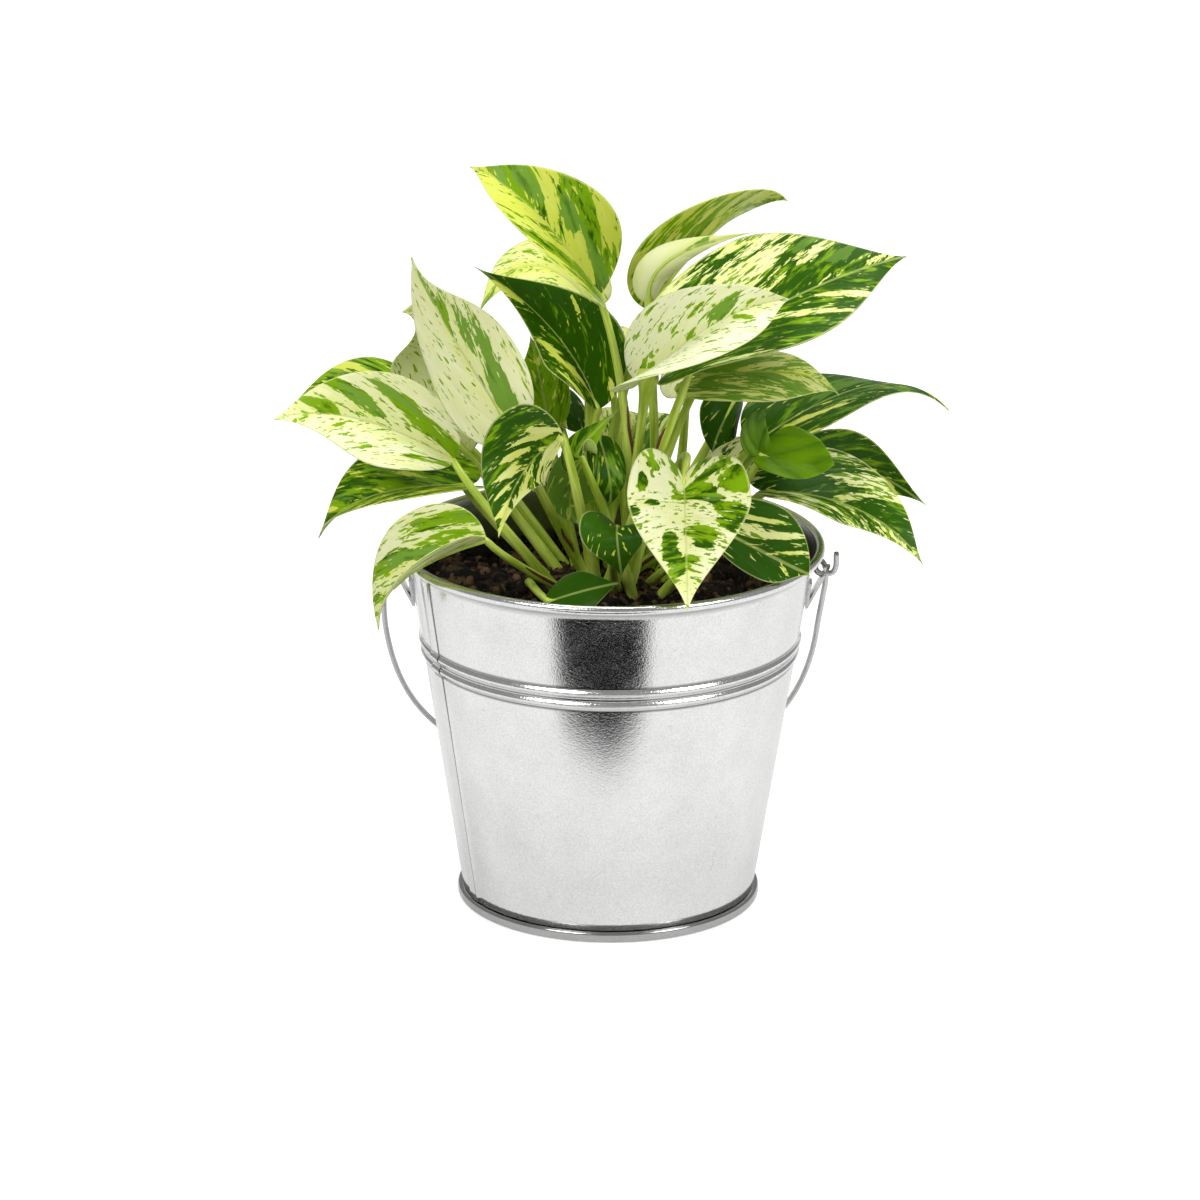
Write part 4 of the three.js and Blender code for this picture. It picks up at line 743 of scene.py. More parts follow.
# How each blade is marked, by name: base is the share of green in the left and the right half, deep is how dark
# the green is, grey how much of it is bluish, dash how many fine flecks there are, and tint how yellow the cream
# is. A patch is its place as the root of its side vein and the way out to the margin, its length along
# the vein and its width in mm, and how much green and grey it adds. A minus takes green away.
marks = {
    "leaf_top": dict(base=(0.44, 0.52), deep=0.42, grey=0.4, dash=0.6, tint=0.95, patches=[
        (0.2, 0.35, 30, 3.5, 0.6, -0.6), (0.05, 0.6, 16, 3, 0.5, -0.6), (0.58, -0.55, 13, 5, 0.5, 0.6),
        (0.28, -0.5, 12, 4, 0.5, 0.3), (0.05, -0.35, 16, 4, 0.4, 0.6), (0.3, -0.97, 22, 2.5, 0.7, -0.5),
        (0.78, -0.6, 10, 2.5, 0.4, 0.5), (0.15, -0.15, 9, 3, -0.4, -0.3), (0.12, -0.9, 14, 3, -0.5, 0),
        (0.42, -0.42, 16, 2, -0.5, 0), (0.6, 0.6, 20, 4, -0.25, -0.4)]),
    "leaf_behind_top": dict(base=(0.26, 0.26), deep=0.4, grey=0.2, dash=1.1, tint=0.6, patches=[
        (0.85, 0, 12, 12, 0.4, 0.3)]),
    "leaf_dark_middle": dict(base=(0.74, 1.0), deep=0.72, grey=0.0, dash=0.3, tint=1.0, patches=[
        (0.2, 0.4, 22, 3, -0.6, 0), (0.08, 0.7, 18, 2.6, -0.6, 0), (0.4, 0.6, 14, 2, -0.5, 0),
        (0.42, -0.7, 12, 2.2, -0.8, 0), (0.06, -0.6, 14, 4, -0.7, 0), (0.0, -0.3, 10, 2, -0.5, 0),
        (0.8, 0.5, 9, 5, -0.5, 0.3)]),
    "leaf_upper_right": dict(base=(0.52, 0.48), deep=0.3, grey=0.05, dash=0.7, tint=0.9, patches=[
        (0.25, 0.4, 14, 4, 0.3, 0), (0.8, 0, 16, 6, -0.2, 0.5), (0.5, 0.6, 18, 2, -0.4, 0)]),
    "leaf_curled_cream": dict(base=(0.03, 0.03), deep=0.3, grey=0.3, dash=0.1, tint=0.3, patches=[
        (0.72, 0, 10, 8, 0.5, 0.6)]),
    "leaf_big_right": dict(base=(0.54, 0.8), deep=0.62, grey=0.22, dash=1.2, tint=0.4, patches=[
        (0.02, 0.9, 26, 8, 0.6, -0.1), (0.44, 0.3, 16, 5, 0.6, 0.1), (0.56, 0.4, 16, 6, 0.6, 0),
        (0.62, 0.6, 12, 6, 0.4, 0.5), (0.46, 0.85, 12, 5, 0.5, 0.6), (0.76, 0.3, 16, 4, 0.5, 0.1),
        (0.25, 0.55, 20, 12, -0.3, 0), (0.52, 0.7, 14, 2.5, -0.45, 0), (0.82, 0.6, 14, 3, -0.45, 0),
        (0.15, -0.5, 26, 6, 0.4, 0), (0.62, -0.2, 16, 4, 0.4, 0), (0.8, -0.15, 12, 3.5, 0.4, 0),
        (0.4, -0.55, 24, 3, -0.5, 0), (0.62, -0.75, 20, 3, -0.5, 0), (0.1, -0.9, 26, 3, -0.45, 0),
        (0.25, -0.25, 18, 2, -0.4, 0), (0.55, -0.45, 14, 2, -0.4, 0)]),
    "leaf_white": dict(base=(0.16, 0.18), deep=0.34, grey=0.25, dash=1.1, tint=0.0, patches=[
        (0.5, 0.35, 13, 3.6, 0.7, 0.9), (0.56, 0.3, 8, 2, 0.4, 0.8), (0.02, 0.55, 9, 1.8, 0.6, 0.2),
        (0.0, 0.8, 9, 1.8, 0.6, 0.2), (0.12, 0.9, 8, 1.6, 0.5, 0.2), (0.3, 0.12, 5, 1.8, 0.5, 0),
        (0.36, 0.55, 7, 1.8, 0.55, 0), (0.7, 0.4, 9, 1.8, 0.45, 0.1), (0.62, -0.25, 9, 1.8, 0.4, 0.1),
        (0.45, -0.3, 10, 1.6, 0.4, 0), (0.25, -0.2, 8, 1.4, 0.4, 0), (0.8, -0.2, 8, 1.8, 0.4, 0)]),
    "leaf_striped": dict(base=(0.43, 0.5), deep=0.32, grey=0.75, dash=1.3, tint=0.65, patches=[
        (0.1, 0.3, 20, 4.5, 0.5, -0.3), (0.3, 0.3, 16, 3, -0.4, 0), (0.4, 0.5, 16, 3, 0.4, 0.1),
        (0.3, -0.6, 26, 8, 0.1, 0.5), (0.5, -0.3, 20, 2, -0.4, 0)]),
    "leaf_long_tip": dict(base=(0.92, 0.74), deep=0.72, grey=0.4, dash=0.7, tint=0.8, patches=[
        (0.35, 0.4, 20, 6, 0.4, 0.3), (0.2, -0.5, 24, 2.5, -0.4, 0), (0.5, -0.5, 24, 2.5, 0.4, 0.2),
        (0.1, -0.7, 20, 3, 0.3, 0), (0.88, 0, 14, 10, -0.5, 0)]),
    "leaf_young": dict(base=(1.5, 1.5), deep=0.24, grey=-0.6, dash=0, tint=1, patches=[]),
    "leaf_young_upper": dict(base=(1.3, 1.3), deep=0.5, grey=-0.4, dash=0, tint=1, patches=[]),
    "leaf_dark_right": dict(base=(0.86, 0.7), deep=0.6, grey=0.2, dash=0.5, tint=0.75, patches=[
        (0.4, -0.4, 12, 3, -0.4, 0), (0.6, 0.1, 12, 2, -0.4, 0), (0.75, -0.5, 10, 3, -0.3, 0)]),
    "leaf_low_right": dict(base=(0.53, 0.5), deep=0.66, grey=0.0, dash=1.6, tint=0.35, patches=[
        (0.16, 0.15, 18, 5, 0.6, 0), (0.3, 0.4, 20, 2.4, -0.2, 0), (0.5, 0.15, 16, 3.5, 0.55, 0),
        (0.42, 0.35, 18, 2, -0.3, 0), (0.1, 0.5, 14, 5, 0.5, 0), (0.62, 0.3, 14, 3.5, 0.5, 0),
        (0.4, 0.8, 20, 4, -0.3, 0), (0.8, 0.2, 12, 3, 0.4, 0), (0.3, -0.3, 18, 3, 0.4, 0)]),
    "leaf_rim_right": dict(base=(0.74, 0.84), deep=0.85, grey=-0.1, dash=1.1, tint=0.55, patches=[
        (0.12, 0.6, 18, 1.8, -0.35, 0), (0.22, 0.35, 18, 1.4, -0.35, 0), (0.02, 0.7, 14, 2, -0.3, 0),
        (0.33, 0.6, 16, 1.4, -0.35, 0), (0.5, -0.4, 12, 1.8, -0.35, 0), (0.15, -0.2, 12, 1.4, -0.3, 0),
        (0.55, 0.5, 14, 1.6, -0.35, 0), (0.4, 0.8, 14, 1.6, -0.35, 0), (0.68, 0.4, 10, 1.2, -0.3, 0)]),
    "leaf_heart": dict(base=(0.27, 0.2), deep=0.5, grey=0.1, dash=1.15, tint=0.2, fan=1, patches=[
        (0.12, 0.15, 9, 4.8, 1.0, 0), (0.17, 0.42, 7, 3.4, 0.8, 0.7), (0.25, 0.68, 9, 4.2, 1.0, 0),
        (0.36, 0.8, 8, 4.8, 0.9, 0.2), (0.11, 0.82, 9, 1.8, 1.1, -0.2), (0.07, 0.6, 9, 1.0, 0.9, -0.2),
        (0.03, 0.75, 7, 0.9, 0.9, -0.2), (0.45, 0.28, 10, 4.6, 1.0, 0.1), (0.54, 0.45, 5, 3, 0.8, 0.6),
        (0.66, 0.15, 5, 2, 0.7, 0), (0.16, -0.13, 4, 3.4, 1.0, 0), (0.08, -0.68, 4.5, 1.1, 1.0, -0.1),
        (0.12, -0.75, 3.5, 1.4, 0.8, 0), (0.23, -0.57, 4, 2, 0.9, 0), (0.28, -0.93, 3.5, 2.4, 0.9, 0),
        (0.5, -0.42, 4.5, 4.8, 1.0, 0.2), (0.61, -0.5, 5, 4.8, 1.0, 0.3), (0.73, -0.55, 4.5, 4.4, 0.9, 0.5),
        (0.68, -0.1, 3.4, 1.9, 0.7, 0)]),
    "leaf_small_heart": dict(base=(0.95, 0.9), deep=0.85, grey=-0.3, dash=0.2, tint=1.1, patches=[
        (0.3, -0.5, 5, 1.5, -0.6, 0), (0.5, 0.3, 4, 1.2, -0.5, 0), (0.2, 0.4, 5, 1, -0.5, 0)]),
    "leaf_soil_front": dict(base=(1.4, 1.4), deep=0.95, grey=-0.6, dash=0, tint=0.8, patches=[]),
    "leaf_front_left": dict(base=(0.5, 0.76), deep=0.66, grey=0.0, dash=0.4, tint=0.62, patches=[
        (0.06, -0.35, 18, 2.2, -0.65, 0), (0.22, -0.4, 16, 1.8, -0.6, 0), (0.36, -0.4, 14, 1.8, -0.55, 0),
        (0.0, -0.7, 12, 2, -0.55, 0), (0.5, -0.3, 12, 2.4, -0.6, 0), (0.66, -0.4, 10, 2.2, -0.5, 0),
        (0.8, -0.2, 9, 2.5, -0.5, 0), (0.2, -0.85, 14, 4, 0.5, 0), (0.42, -0.9, 10, 3.5, 0.5, 0),
        (0.1, -0.1, 8, 2, 0.4, 0), (0.3, 0.4, 12, 2, 0.4, 0)]),
    "leaf_edge_on": dict(base=(1.2, 1.2), deep=0.5, grey=-0.2, dash=0, tint=1, patches=[]),
    "leaf_middle_dark": dict(base=(1.0, 0.92), deep=0.6, grey=0.1, dash=0.1, tint=1, patches=[
        (0.4, 0.4, 14, 4, 0, 0.6)]),
    "leaf_middle_grey": dict(base=(0.78, 0.62), deep=0.3, grey=1.1, dash=0.8, tint=0.7, patches=[]),
    "leaf_left_cream": dict(base=(0.12, 0.3), deep=0.3, grey=0.45, dash=0.85, tint=0.22, patches=[
        (0.1, -0.3, 34, 4.5, 0.7, 0.7), (0.32, -0.4, 18, 3.5, 0.55, 0.5), (0.02, -0.7, 18, 4, 0.7, 0.5),
        (0.5, -0.15, 16, 3, 0.7, 0), (0.66, -0.12, 14, 3, 0.6, 0), (0.8, -0.1, 12, 3, 0.5, 0),
        (0.25, -0.95, 20, 2.5, -0.3, 0), (0.2, -0.08, 16, 2, -0.3, 0), (0.35, 0.1, 5, 1.5, 0.4, 0)]),
    "leaf_left_low_cream": dict(base=(0.2, 0.24), deep=0.36, grey=0.3, dash=1.05, tint=0.22, patches=[
        (0.5, -0.75, 14, 4, 0.8, 0.4), (0.22, -0.6, 20, 4, 0.85, 0.5), (0.4, -0.35, 11, 3.4, 0.7, 0.4),
        (0.66, -0.3, 12, 3, 0.75, 0.2), (0.15, -0.35, 14, 2.5, 0.6, -0.1), (0.06, -0.3, 16, 2.2, 0.6, -0.2),
        (0.08, 0.5, 16, 2.5, 0.75, -0.1), (0.3, 0.62, 10, 2, 0.5, -0.2), (0.55, 0.3, 9, 1.6, 0.4, 0),
        (0.8, 0.2, 8, 1.8, 0.3, 0), (0.04, -0.55, 14, 3, 0.5, 0)]),
    "leaf_left_back_dark": dict(base=(0.85, 0.72), deep=0.45, grey=0.1, dash=0.4, tint=1.0, patches=[
        (0.4, -0.6, 20, 3, -0.4, 0)]),
    "leaf_left_back_pale": dict(base=(0.3, 0.3), deep=0.3, grey=0.3, dash=1.1, tint=0.3, patches=[]),
    "leaf_left_low_dark": dict(base=(0.58, 0.78), deep=0.5, grey=0.3, dash=0.4, tint=1.0, patches=[
        (0.35, -0.4, 14, 4, 0.4, 0), (0.45, -0.75, 12, 2.5, -0.5, 0), (0.6, -0.4, 12, 3, 0.4, 0.2),
        (0.2, -0.3, 10, 1.6, -0.5, 0), (0.75, -0.6, 8, 2, -0.4, 0)]),
    "leaf_rim_left": dict(base=(0.4, 0.25), deep=0.4, grey=0.3, dash=1.25, tint=0.32, patches=[
        (0.06, -0.72, 22, 3.5, 0.75, 0.2), (0.3, -0.25, 20, 4, 0.8, 0.6), (0.1, -0.3, 9, 2.4, 0.6, -0.2),
        (0.55, -0.7, 16, 2.4, 0.6, 0.1), (0.2, -0.6, 9, 1.8, 0.5, -0.2), (0.72, -0.5, 16, 2.4, 0.55, 0.1),
        (0.45, -0.6, 9, 1.8, 0.5, 0)]),
    "leaf_olive": dict(base=(0.7, 0.7), deep=0.35, grey=0.3, dash=0.4, tint=0.9, patches=[]),
    "leaf_dark_point": dict(base=(0.85, 0.85), deep=0.85, grey=0.2, dash=0.3, tint=0.7, patches=[]),
    "leaf_back_middle": dict(base=(0.5, 0.6), deep=0.5, grey=0.5, dash=0.6, tint=0.5, patches=[]),
    "leaf_back_low_right": dict(base=(0.4, 0.3), deep=0.6, grey=0.3, dash=0.7, tint=0.3, patches=[]),
    "leaf_back_low_left": dict(base=(0.3, 0.4), deep=0.6, grey=0.3, dash=0.7, tint=0.3, patches=[]),
    "leaf_back_left": dict(base=(0.62, 0.7), deep=0.75, grey=0.1, dash=0.5, tint=0.5, patches=[]),
    "leaf_back_right": dict(base=(0.25, 0.3), deep=0.6, grey=0.3, dash=0.8, tint=0.3, patches=[]),
    "leaf_back_centre": dict(base=(0.6, 0.45), deep=0.7, grey=0.4, dash=0.5, tint=0.5, patches=[]),
}


map_unit = 100  # the vein map is in tenths of a metre, so that it stays small


def sheet_noise(tree, place, across, along, seed, detail=2.0, rough=0.5, twist=0.0):
    # noise drawn out along the side veins: across and along are the size of its features in mm
    scaled = shader_node(tree, "ShaderNodeVectorMath", {
        0: place, 1: (map_unit / across, map_unit / along, 1), 2: (seed * 3.7, seed * 1.9, seed),
    }, operation="MULTIPLY_ADD").outputs[0]
    return shader_node(tree, "ShaderNodeTexNoise", {
        "Vector": scaled, "Scale": 1.0, "Detail": detail, "Roughness": rough, "Distortion": twist}).outputs["Fac"]


# The marbling: cream tissue with green in streaks and patches along the side veins, flecks, and bluish patches
# where the green lies under a pale skin.
marbling, given, result = new_group(
    "marbling",
    [("Place", "Vector")] + [(key, "Float") for key in ("Green", "Deep", "Grey", "Dash", "Tint")],
    [("Color", "Color"), ("Height", "Float")])
cream = (0.90, 0.92, 0.61, 1)
yellow_green = (0.66, 0.72, 0.10, 1)
fresh_green = (0.22, 0.40, 0.006, 1)
dark_green = (0.026, 0.095, 0.001, 1)
blue_green = (0.19, 0.35, 0.045, 1)
fleck_green = (0.26, 0.44, 0.015, 1)
vein_spacing = 3.2
place = given["Place"]
t = marbling
broad = sheet_noise(t, place, 3.8, 15, 1, 3.0, 0.6, 0.6)
ragged = sheet_noise(t, place, 1.4, 5, 2, 3.0, 0.65, 0.4)
field = maths(t, "MULTIPLY_ADD", maths(t, "SUBTRACT", given["Green"], 0.5), 0.8, broad)
field = maths(t, "MULTIPLY_ADD", maths(t, "SUBTRACT", ragged, 0.5), 0.42, field)
patch = step_up(t, field, 0.495, 0.52)
crowd = maths(t, "MULTIPLY", maths(t, "SUBTRACT", sheet_noise(t, place, 7, 12, 27, 2.0, 0.6), 0.5), 0.28)
fleck = sheet_noise(t, place, 1.25, 4.0, 5, 2.0, 0.6)
fleck_from = maths(t, "SUBTRACT", maths(t, "MULTIPLY_ADD", given["Dash"], -0.15, 0.755), crowd)
flecks = step_up(t, fleck, fleck_from, maths(t, "ADD", fleck_from, 0.025))
blot = sheet_noise(t, place, 2.1, 4.5, 7, 2.0, 0.6)
blot_from = maths(t, "SUBTRACT", maths(t, "MULTIPLY_ADD", given["Dash"], -0.12, 0.77), crowd)
flecks = maths(t, "MAXIMUM", flecks, step_up(t, blot, blot_from, maths(t, "ADD", blot_from, 0.025)))
slit_from = maths(t, "MULTIPLY_ADD", given["Green"], 0.16, 0.5)
slits = step_up(t, sheet_noise(t, place, 1.2, 6, 9, 2.0, 0.6), slit_from, maths(t, "ADD", slit_from, 0.03))
green_share = maths(t, "MAXIMUM", maths(t, "SUBTRACT", patch, maths(t, "MULTIPLY", slits, 0.9)), flecks, clamp=True)
tone = sheet_noise(t, place, 2.6, 10, 12, 4.0, 0.65, 0.5)
dark_share = step_up(t, maths(t, "MULTIPLY_ADD", maths(t, "SUBTRACT", given["Deep"], 0.5), 0.62, tone), 0.42, 0.58)
green = blend(t, dark_share, fresh_green, dark_green)
# the flecks are a lighter, fresher green than the patches
green = blend(t, maths(t, "MULTIPLY", maths(t, "SUBTRACT", 1.0, patch), 0.6), green, fleck_green)
haze = sheet_noise(t, place, 4, 12, 15, 3.0, 0.6, 0.4)
haze = step_up(t, maths(t, "MULTIPLY_ADD", maths(t, "SUBTRACT", given["Grey"], 0.5), 0.8, haze), 0.5, 0.53)
hazy = blend(t, maths(t, "MULTIPLY", dark_share, 0.45), blue_green, dark_green)
green = blend(t, maths(t, "MULTIPLY", haze, 0.9), green, hazy)
warm = sheet_noise(t, place, 6, 14, 18, 3.0, 0.6)
warm_share = maths(t, "MULTIPLY_ADD", maths(t, "SUBTRACT", warm, 0.5), 1.1, given["Tint"], clamp=True)
pale = blend(t, warm_share, cream, yellow_green)
halo = step_up(t, field, 0.36, 0.50)
pale = blend(t, maths(t, "MULTIPLY", halo, 0.35), pale, yellow_green)
t.links.new(blend(t, green_share, pale, green), result["Color"])
across_veins = shader_node(t, "ShaderNodeSeparateXYZ", {0: place}).outputs[0]
vein_phase = maths(t, "PINGPONG", maths(t, "MULTIPLY", across_veins, map_unit / vein_spacing), 1.0)
puffed = maths(t, "POWER", vein_phase, 0.5)
grain = sheet_noise(t, place, 1.2, 2.0, 21, 2.0, 0.6)
t.links.new(maths(t, "MULTIPLY_ADD", grain, 0.25, puffed), result["Height"])

# The blade's own finish: waxy, paler and duller underneath, with a pale midrib and a thin pale margin.
# Light passes through it.
light_through = {"Subsurface Weight": 0.3, "Subsurface Radius": (1.0, 1.2, 0.4)}
rib_green, margin_green, under_green = (0.5, 0.6, 0.16, 1), (0.66, 0.72, 0.3, 1), (0.52, 0.57, 0.24, 1)
vein_relief = 0.6
blade_paint, t, sockets = new_paint(
    "blade", {**light_through, "Subsurface Scale": 1.2 * MM, "Specular IOR Level": 0.08})
own = {}
for key in ("marks", "looks", "place"):
    own[key] = shader_node(t, "ShaderNodeSeparateXYZ", {
        0: shader_node(t, "ShaderNodeAttribute", attribute_name=key).outputs["Vector"]}).outputs
marbled = shader_node(t, "ShaderNodeGroup", {
    "Place": shader_node(t, "ShaderNodeUVMap", uv_map="vein").outputs[0],
    "Green": own["marks"][0], "Deep": own["marks"][1], "Grey": own["marks"][2],
    "Dash": own["looks"][0], "Tint": own["looks"][1],
}, node_tree=marbling).outputs
under = own["looks"][2]
rib = step_up(t, own["place"][0], 0.6, 0.25)
edge = step_up(t, own["place"][1], 0.965, 0.985)
colour = blend(t, maths(t, "MULTIPLY", rib, 0.5), marbled["Color"], rib_green)
colour = blend(t, maths(t, "MULTIPLY", edge, 0.5), colour, margin_green)
t.links.new(blend(t, maths(t, "MULTIPLY", under, 0.45), colour, under_green), sockets["Base Color"])
t.links.new(maths(t, "MULTIPLY_ADD", under, 0.2, 0.36), sockets["Roughness"])
t.links.new(shader_node(t, "ShaderNodeBump", {
    "Strength": 0.35, "Distance": vein_relief * MM, "Height": marbled["Height"]}).outputs[0], sockets["Normal"])

# The youngest leaf hasn't marbled yet: one fresh green, thin, and glossier than the others.
young_dark, young_light = (0.075, 0.19, 0.002, 1), (0.17, 0.34, 0.005, 1)
young_paint, t, sockets = new_paint("young_blade", {
    **light_through, "Subsurface Scale": 1 * MM, "Specular IOR Level": 0.3, "Roughness": 0.27})
young_map = shader_node(t, "ShaderNodeUVMap", uv_map="vein").outputs[0]
young_veins = shader_node(t, "ShaderNodeGroup", {"Place": young_map}, node_tree=marbling).outputs["Height"]
young_tone = maths(t, "MULTIPLY_ADD", young_veins, 0.3, sheet_noise(t, young_map, 5, 12, 41, 3.0, 0.6))
t.links.new(blend(t, step_up(t, young_tone, 0.45, 0.95), young_dark, young_light), sockets["Base Color"])
t.links.new(shader_node(t, "ShaderNodeBump", {
    "Strength": 0.5, "Distance": vein_relief * MM, "Height": young_veins}).outputs[0], sockets["Normal"])

# The stalks: pale yellow-green, faintly streaked along their length, and a little waxy.
stalk_green, stalk_pale = (0.32, 0.47, 0.02, 1), (0.72, 0.85, 0.17, 1)
stalk_paint, t, sockets = new_paint("stalk", {
    **light_through, "Subsurface Weight": 0.2, "Subsurface Scale": 1 * MM, "Specular IOR Level": 0.2,
    "Roughness": 0.4})
stalk_streak = sheet_noise(t, shader_node(t, "ShaderNodeUVMap", uv_map="vein").outputs[0], 3, 30, 31, 3.0, 0.6)
t.links.new(blend(t, step_up(t, stalk_streak, 0.3, 0.7), stalk_green, stalk_pale), sockets["Base Color"])

# What is left of the dry sheaths: thin, dark reddish shreds that cling to a few of the stalks.
sheath_dark, sheath_red = (0.05, 0.012, 0.006, 1), (0.26, 0.09, 0.04, 1)
sheath_paint, t, sockets = new_paint("dry_sheath", {"Roughness": 0.7})
t.links.new(blend(t, body_noise(t, 1.5, 3.0, 0.6), sheath_dark, sheath_red), sockets["Base Color"])
# by leaf: where each shred begins and ends as a share of the stalk, and the side of the stalk it is on, in degrees
sheaths = {
    "leaf_top": [(0.38, 0.58, 40)],
    "leaf_big_right": [(0.5, 0.64, -60)],
    "leaf_left_cream": [(0.2, 0.34, 20)],
    "leaf_rim_left": [(0.25, 0.6, 60)],
    "leaf_left_low_dark": [(0.1, 0.3, 0)],
    "leaf_low_right": [(0.1, 0.3, -20)],
}


def vein_place(leaf, root, along, out, length, fan):
    # millimetres across the side veins and along them: they leave the rib at a sharp angle and sweep forward,
    # or fan out from the stalk as in a broad heart
    side = np.where(out > 0, leaf["left"], leaf["right"])
    aside = np.abs(out) * side
    across = (along * length - 1.5 * aside - 0.7 * aside ** 2 / side) / 2.4
    across = across + fan * (root * length - across)
    steepness = (1.5 + 0.7 * np.abs(out)) * (1 - fan)
    return across, out * side * np.sqrt(1 + steepness ** 2)


def blade_marks(leaf, root, along, out):
    # the place of every vertex among the veins, how green it is, and how bluish
    look = marks[leaf["name"]]
    fan = look.get("fan", 0)
    base, mid, tip = (np.array(leaf[k], float) for k in ("base", "mid", "tip"))
    length = np.linalg.norm(mid - base) + np.linalg.norm(tip - mid)
    u, v = vein_place(leaf, root, along, out, length, fan)
    green = np.where(v > 0, look["base"][0], look["base"][1]).astype(float)
    green += (look["base"][0] - look["base"][1]) * (0.5 * np.exp(-np.abs(v) / 1.2)) * np.where(v > 0, -1, 1)
    grey = np.full(len(u), float(look["grey"]))
    edge_along, edge_out, edge_root = margin(leaf, np.linspace(0, 1, 200))
    for at_root, at_out, long, wide, more_green, more_grey in look["patches"]:
        i = int(np.argmin(np.abs(edge_root - at_root)))
        patch_along = at_root + (edge_along[i] - at_root) * abs(at_out)
        patch_u, patch_v = vein_place(
            leaf, at_root, np.array([patch_along]), np.array([edge_out[i] * at_out + 1e-6]), length, fan)
        near = np.exp(-0.84 * (((u - patch_u) / wide * 2) ** 2 + ((v - patch_v) / long * 2) ** 2))
        same_side = (np.sign(v) == np.sign(patch_v)) | (np.abs(v) < 0.8)
        green += more_green * near * same_side
        grey += more_grey * near * same_side
    return u, v, green, grey


# The young leaf has its left half turned up beside the rest as a small round lobe.
young_lobe = dict(base=[46, -10.5, 146.5], mid=[44, -10.5, 154], tip=[46.5, -10, 161],
                  faces=[-8, 8], left=4.6, right=4.4, fold=[8, 0], cup=-0.6, twist=0, lobe=0, taper=0.75)
# the stalks that widen to the blade, in mm more at the top
flared = {"leaf_white": 2.6, "leaf_front_left": 0.5, "leaf_curled_cream": 0.6, "leaf_dark_middle": 0.6}
# the stalk goes down into the soil, and runs on under the blade as its midrib, thinner towards the tip
stalk_depth, stalk_top_radius = 4, 1.1
stalk_rings, stalk_sides = 25, 12
rib_along = np.array([0.05, 0.1, 0.17, 0.24, 0.34, 0.46, 0.6])
rib_radii = [0.75, 0.6, 0.5, 0.42, 0.36, 0.3, 0.2]
rib_sink = 0.3
shred_rings, shred_sides = 14, 6
# how finely a blade is divided: rows from stalk to tip, and columns in each half
blade_grid, lobe_grid = (72, 22), (40, 12)


def sheath_shreds(leaf, stalk, radii):
    # a thin pointed rod against the side of the stalk for each shred
    rods = []
    for start, end, turn in sheaths.get(leaf["name"], ()):
        shares = np.linspace(start, end, shred_rings)
        ring_shares = np.linspace(0, 1, stalk_rings)
        at = np.stack([np.interp(shares, ring_shares, stalk[:, k]) for k in range(3)], 1)
        reach = np.interp(shares, ring_shares, radii)[:, None]
        way = np.array([math.sin(math.radians(turn)), -math.cos(math.radians(turn)), 0.1])
        bend = 0.25 * np.sin(np.linspace(0, 7, shred_rings))[:, None] * np.array([1, 0, 0])
        shred_radii = 0.12 + 0.45 * np.sin(np.linspace(0.15, 3.0, shred_rings))
        rods.append(round_rod(at + way * reach + bend, shred_radii, shred_sides))
    return rods


def midrib(leaf):
    # points just below the middle of the blade, on the side that the two halves fold away from
    on_rib = 0 * rib_along
    middle = blade_surface(leaf, rib_along, on_rib)
    wings = (blade_surface(leaf, rib_along, on_rib + 0.3) + blade_surface(leaf, rib_along, on_rib - 0.3)) / 2
    normal = blade_normal(leaf, rib_along, on_rib)
    return middle - normal * np.sign(((wings - middle) * normal).sum(1))[:, None] * rib_sink


def with_rows(values, spare):
    # what the blade's vertices hold, and zero for those of the stalk and the shreds
    return np.concatenate([np.stack(values, 1), np.zeros((spare, len(values)))]).astype(np.float32)


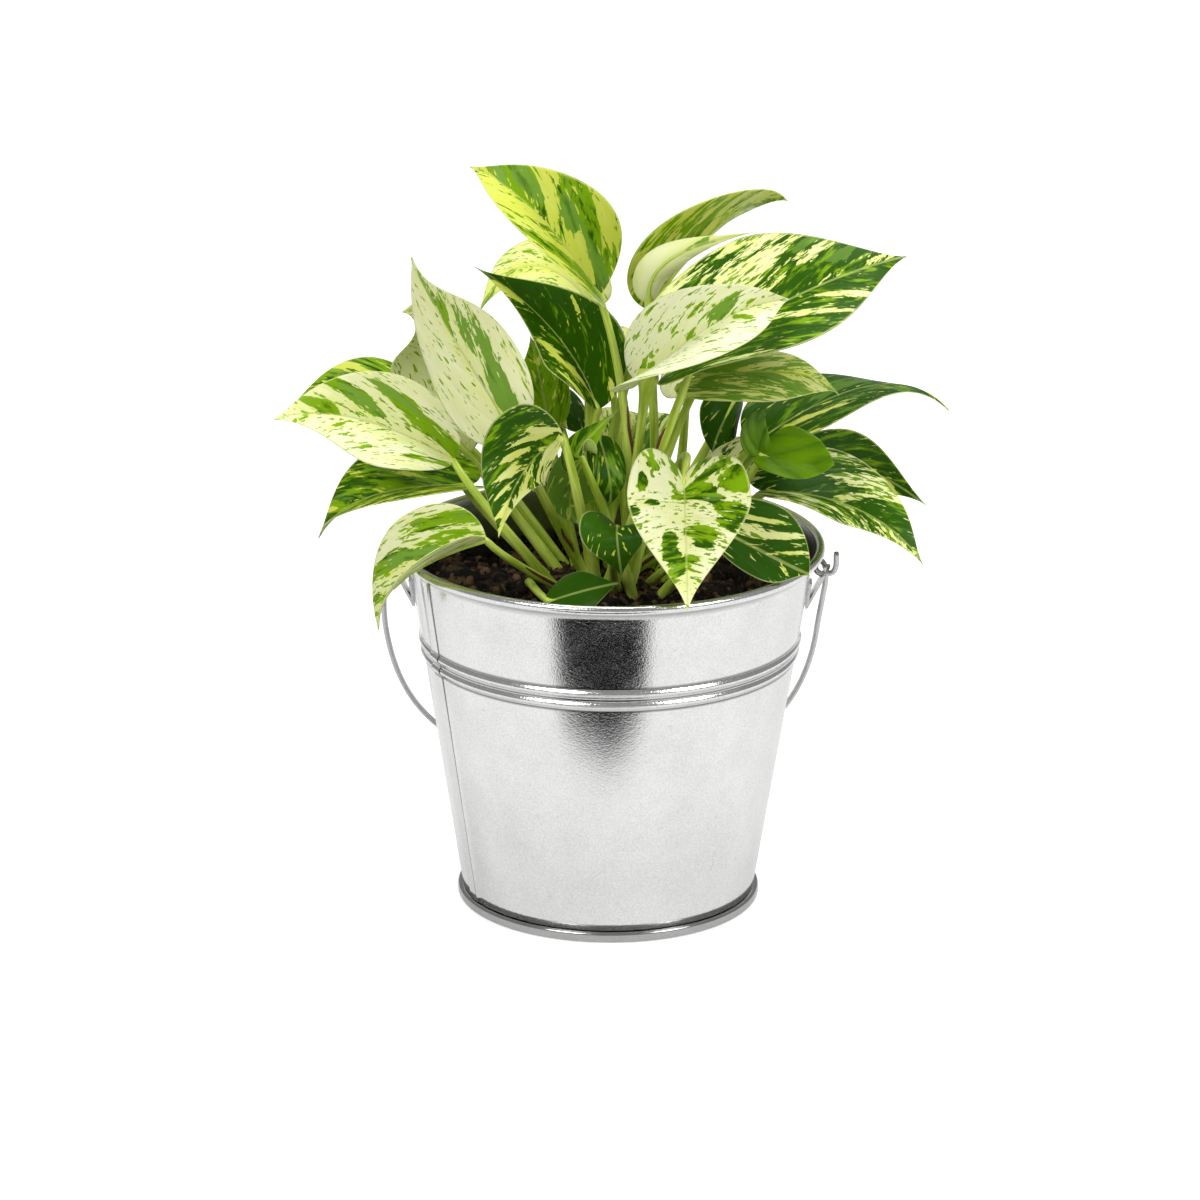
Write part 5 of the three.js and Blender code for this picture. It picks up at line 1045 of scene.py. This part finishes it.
for number, leaf in enumerate(leaves):
    look = marks[leaf["name"]]
    young = leaf["name"] == "leaf_young"
    vertices, faces, vein, along, out, under = blade_mesh(leaf, *blade_grid)
    if young:
        lobe = blade_mesh(young_lobe, *lobe_grid)
        faces += [tuple(v + len(vertices) for v in face) for face in lobe[1]]
        vertices, vein, along, out, under = (
            np.concatenate(pair) for pair in zip((vertices, vein, along, out, under), lobe[:1] + lobe[2:]))
    u, v, green, grey = blade_marks(leaf, vein[:, 0], along, out)
    base = np.array(leaf["base"], float)
    foot = np.array([*leaf["foot"], soil_top - stalk_depth], float)
    up_stalk = np.linspace(0, 1, stalk_rings)
    stalk = bezier(foot, foot + leaf["rise"], base + leaf["join"], base, up_stalk)
    radii = leaf["thick"] + (stalk_top_radius - leaf["thick"]) * up_stalk
    radii = radii + flared.get(leaf["name"], 0) * up_stalk ** 10
    shreds = sheath_shreds(leaf, stalk, radii)
    stalk = np.concatenate([stalk, midrib(leaf)])
    rods = [round_rod(stalk, np.concatenate([radii, rib_radii]), stalk_sides)] + shreds
    blade_count, kinds = len(vertices), [0] * len(faces)
    for slot, (rod_vertices, rod_faces) in zip([1] + [2] * len(shreds), rods):
        faces += [tuple(v + len(vertices) for v in face) for face in rod_faces]
        kinds += [slot] * len(rod_faces)
        vertices = np.concatenate([vertices, rod_vertices])
    piece = add_piece(
        leaf["name"].replace("leaf", "foliage"), vertices, faces,
        [young_paint if young else blade_paint, stalk_paint, sheath_paint])
    piece.data.polygons.foreach_set("material_index", kinds)

    # the vein map, where the stalk has its own streaks along its length
    lengths = np.concatenate([[0], np.cumsum(np.linalg.norm(np.diff(stalk, axis=0), axis=1))])
    round_stalk = np.tile(np.abs(np.arange(stalk_sides) - stalk_sides // 2), len(stalk))
    place = np.concatenate([
        np.stack([u / map_unit + number * 3, v / map_unit], 1),
        np.stack([round_stalk / map_unit, np.repeat(lengths, stalk_sides) / map_unit + number], 1),
        np.zeros((len(vertices) - blade_count - len(round_stalk), 2)),
    ])
    corner = np.empty(len(piece.data.loops), int)
    piece.data.loops.foreach_get("vertex_index", corner)
    piece.data.uv_layers.new(name="vein").data.foreach_set("uv", place[corner].ravel().astype(np.float32))
    for key, values in (
        ("marks", (green, np.full(blade_count, look["deep"]), grey)),
        ("looks", (np.full(blade_count, look["dash"]), look["tint"] + 0.2 * np.exp(-(out / 0.25) ** 2), under)),
        ("place", (np.abs(out) * leaf["right"], np.abs(vein[:, 1]), under)),
    ):
        piece.data.attributes.new(key, "FLOAT_VECTOR", "POINT").data.foreach_set(
            "vector", with_rows(values, len(vertices) - blade_count).ravel())
    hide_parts(leaf["name"])
    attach(piece, "bucket")
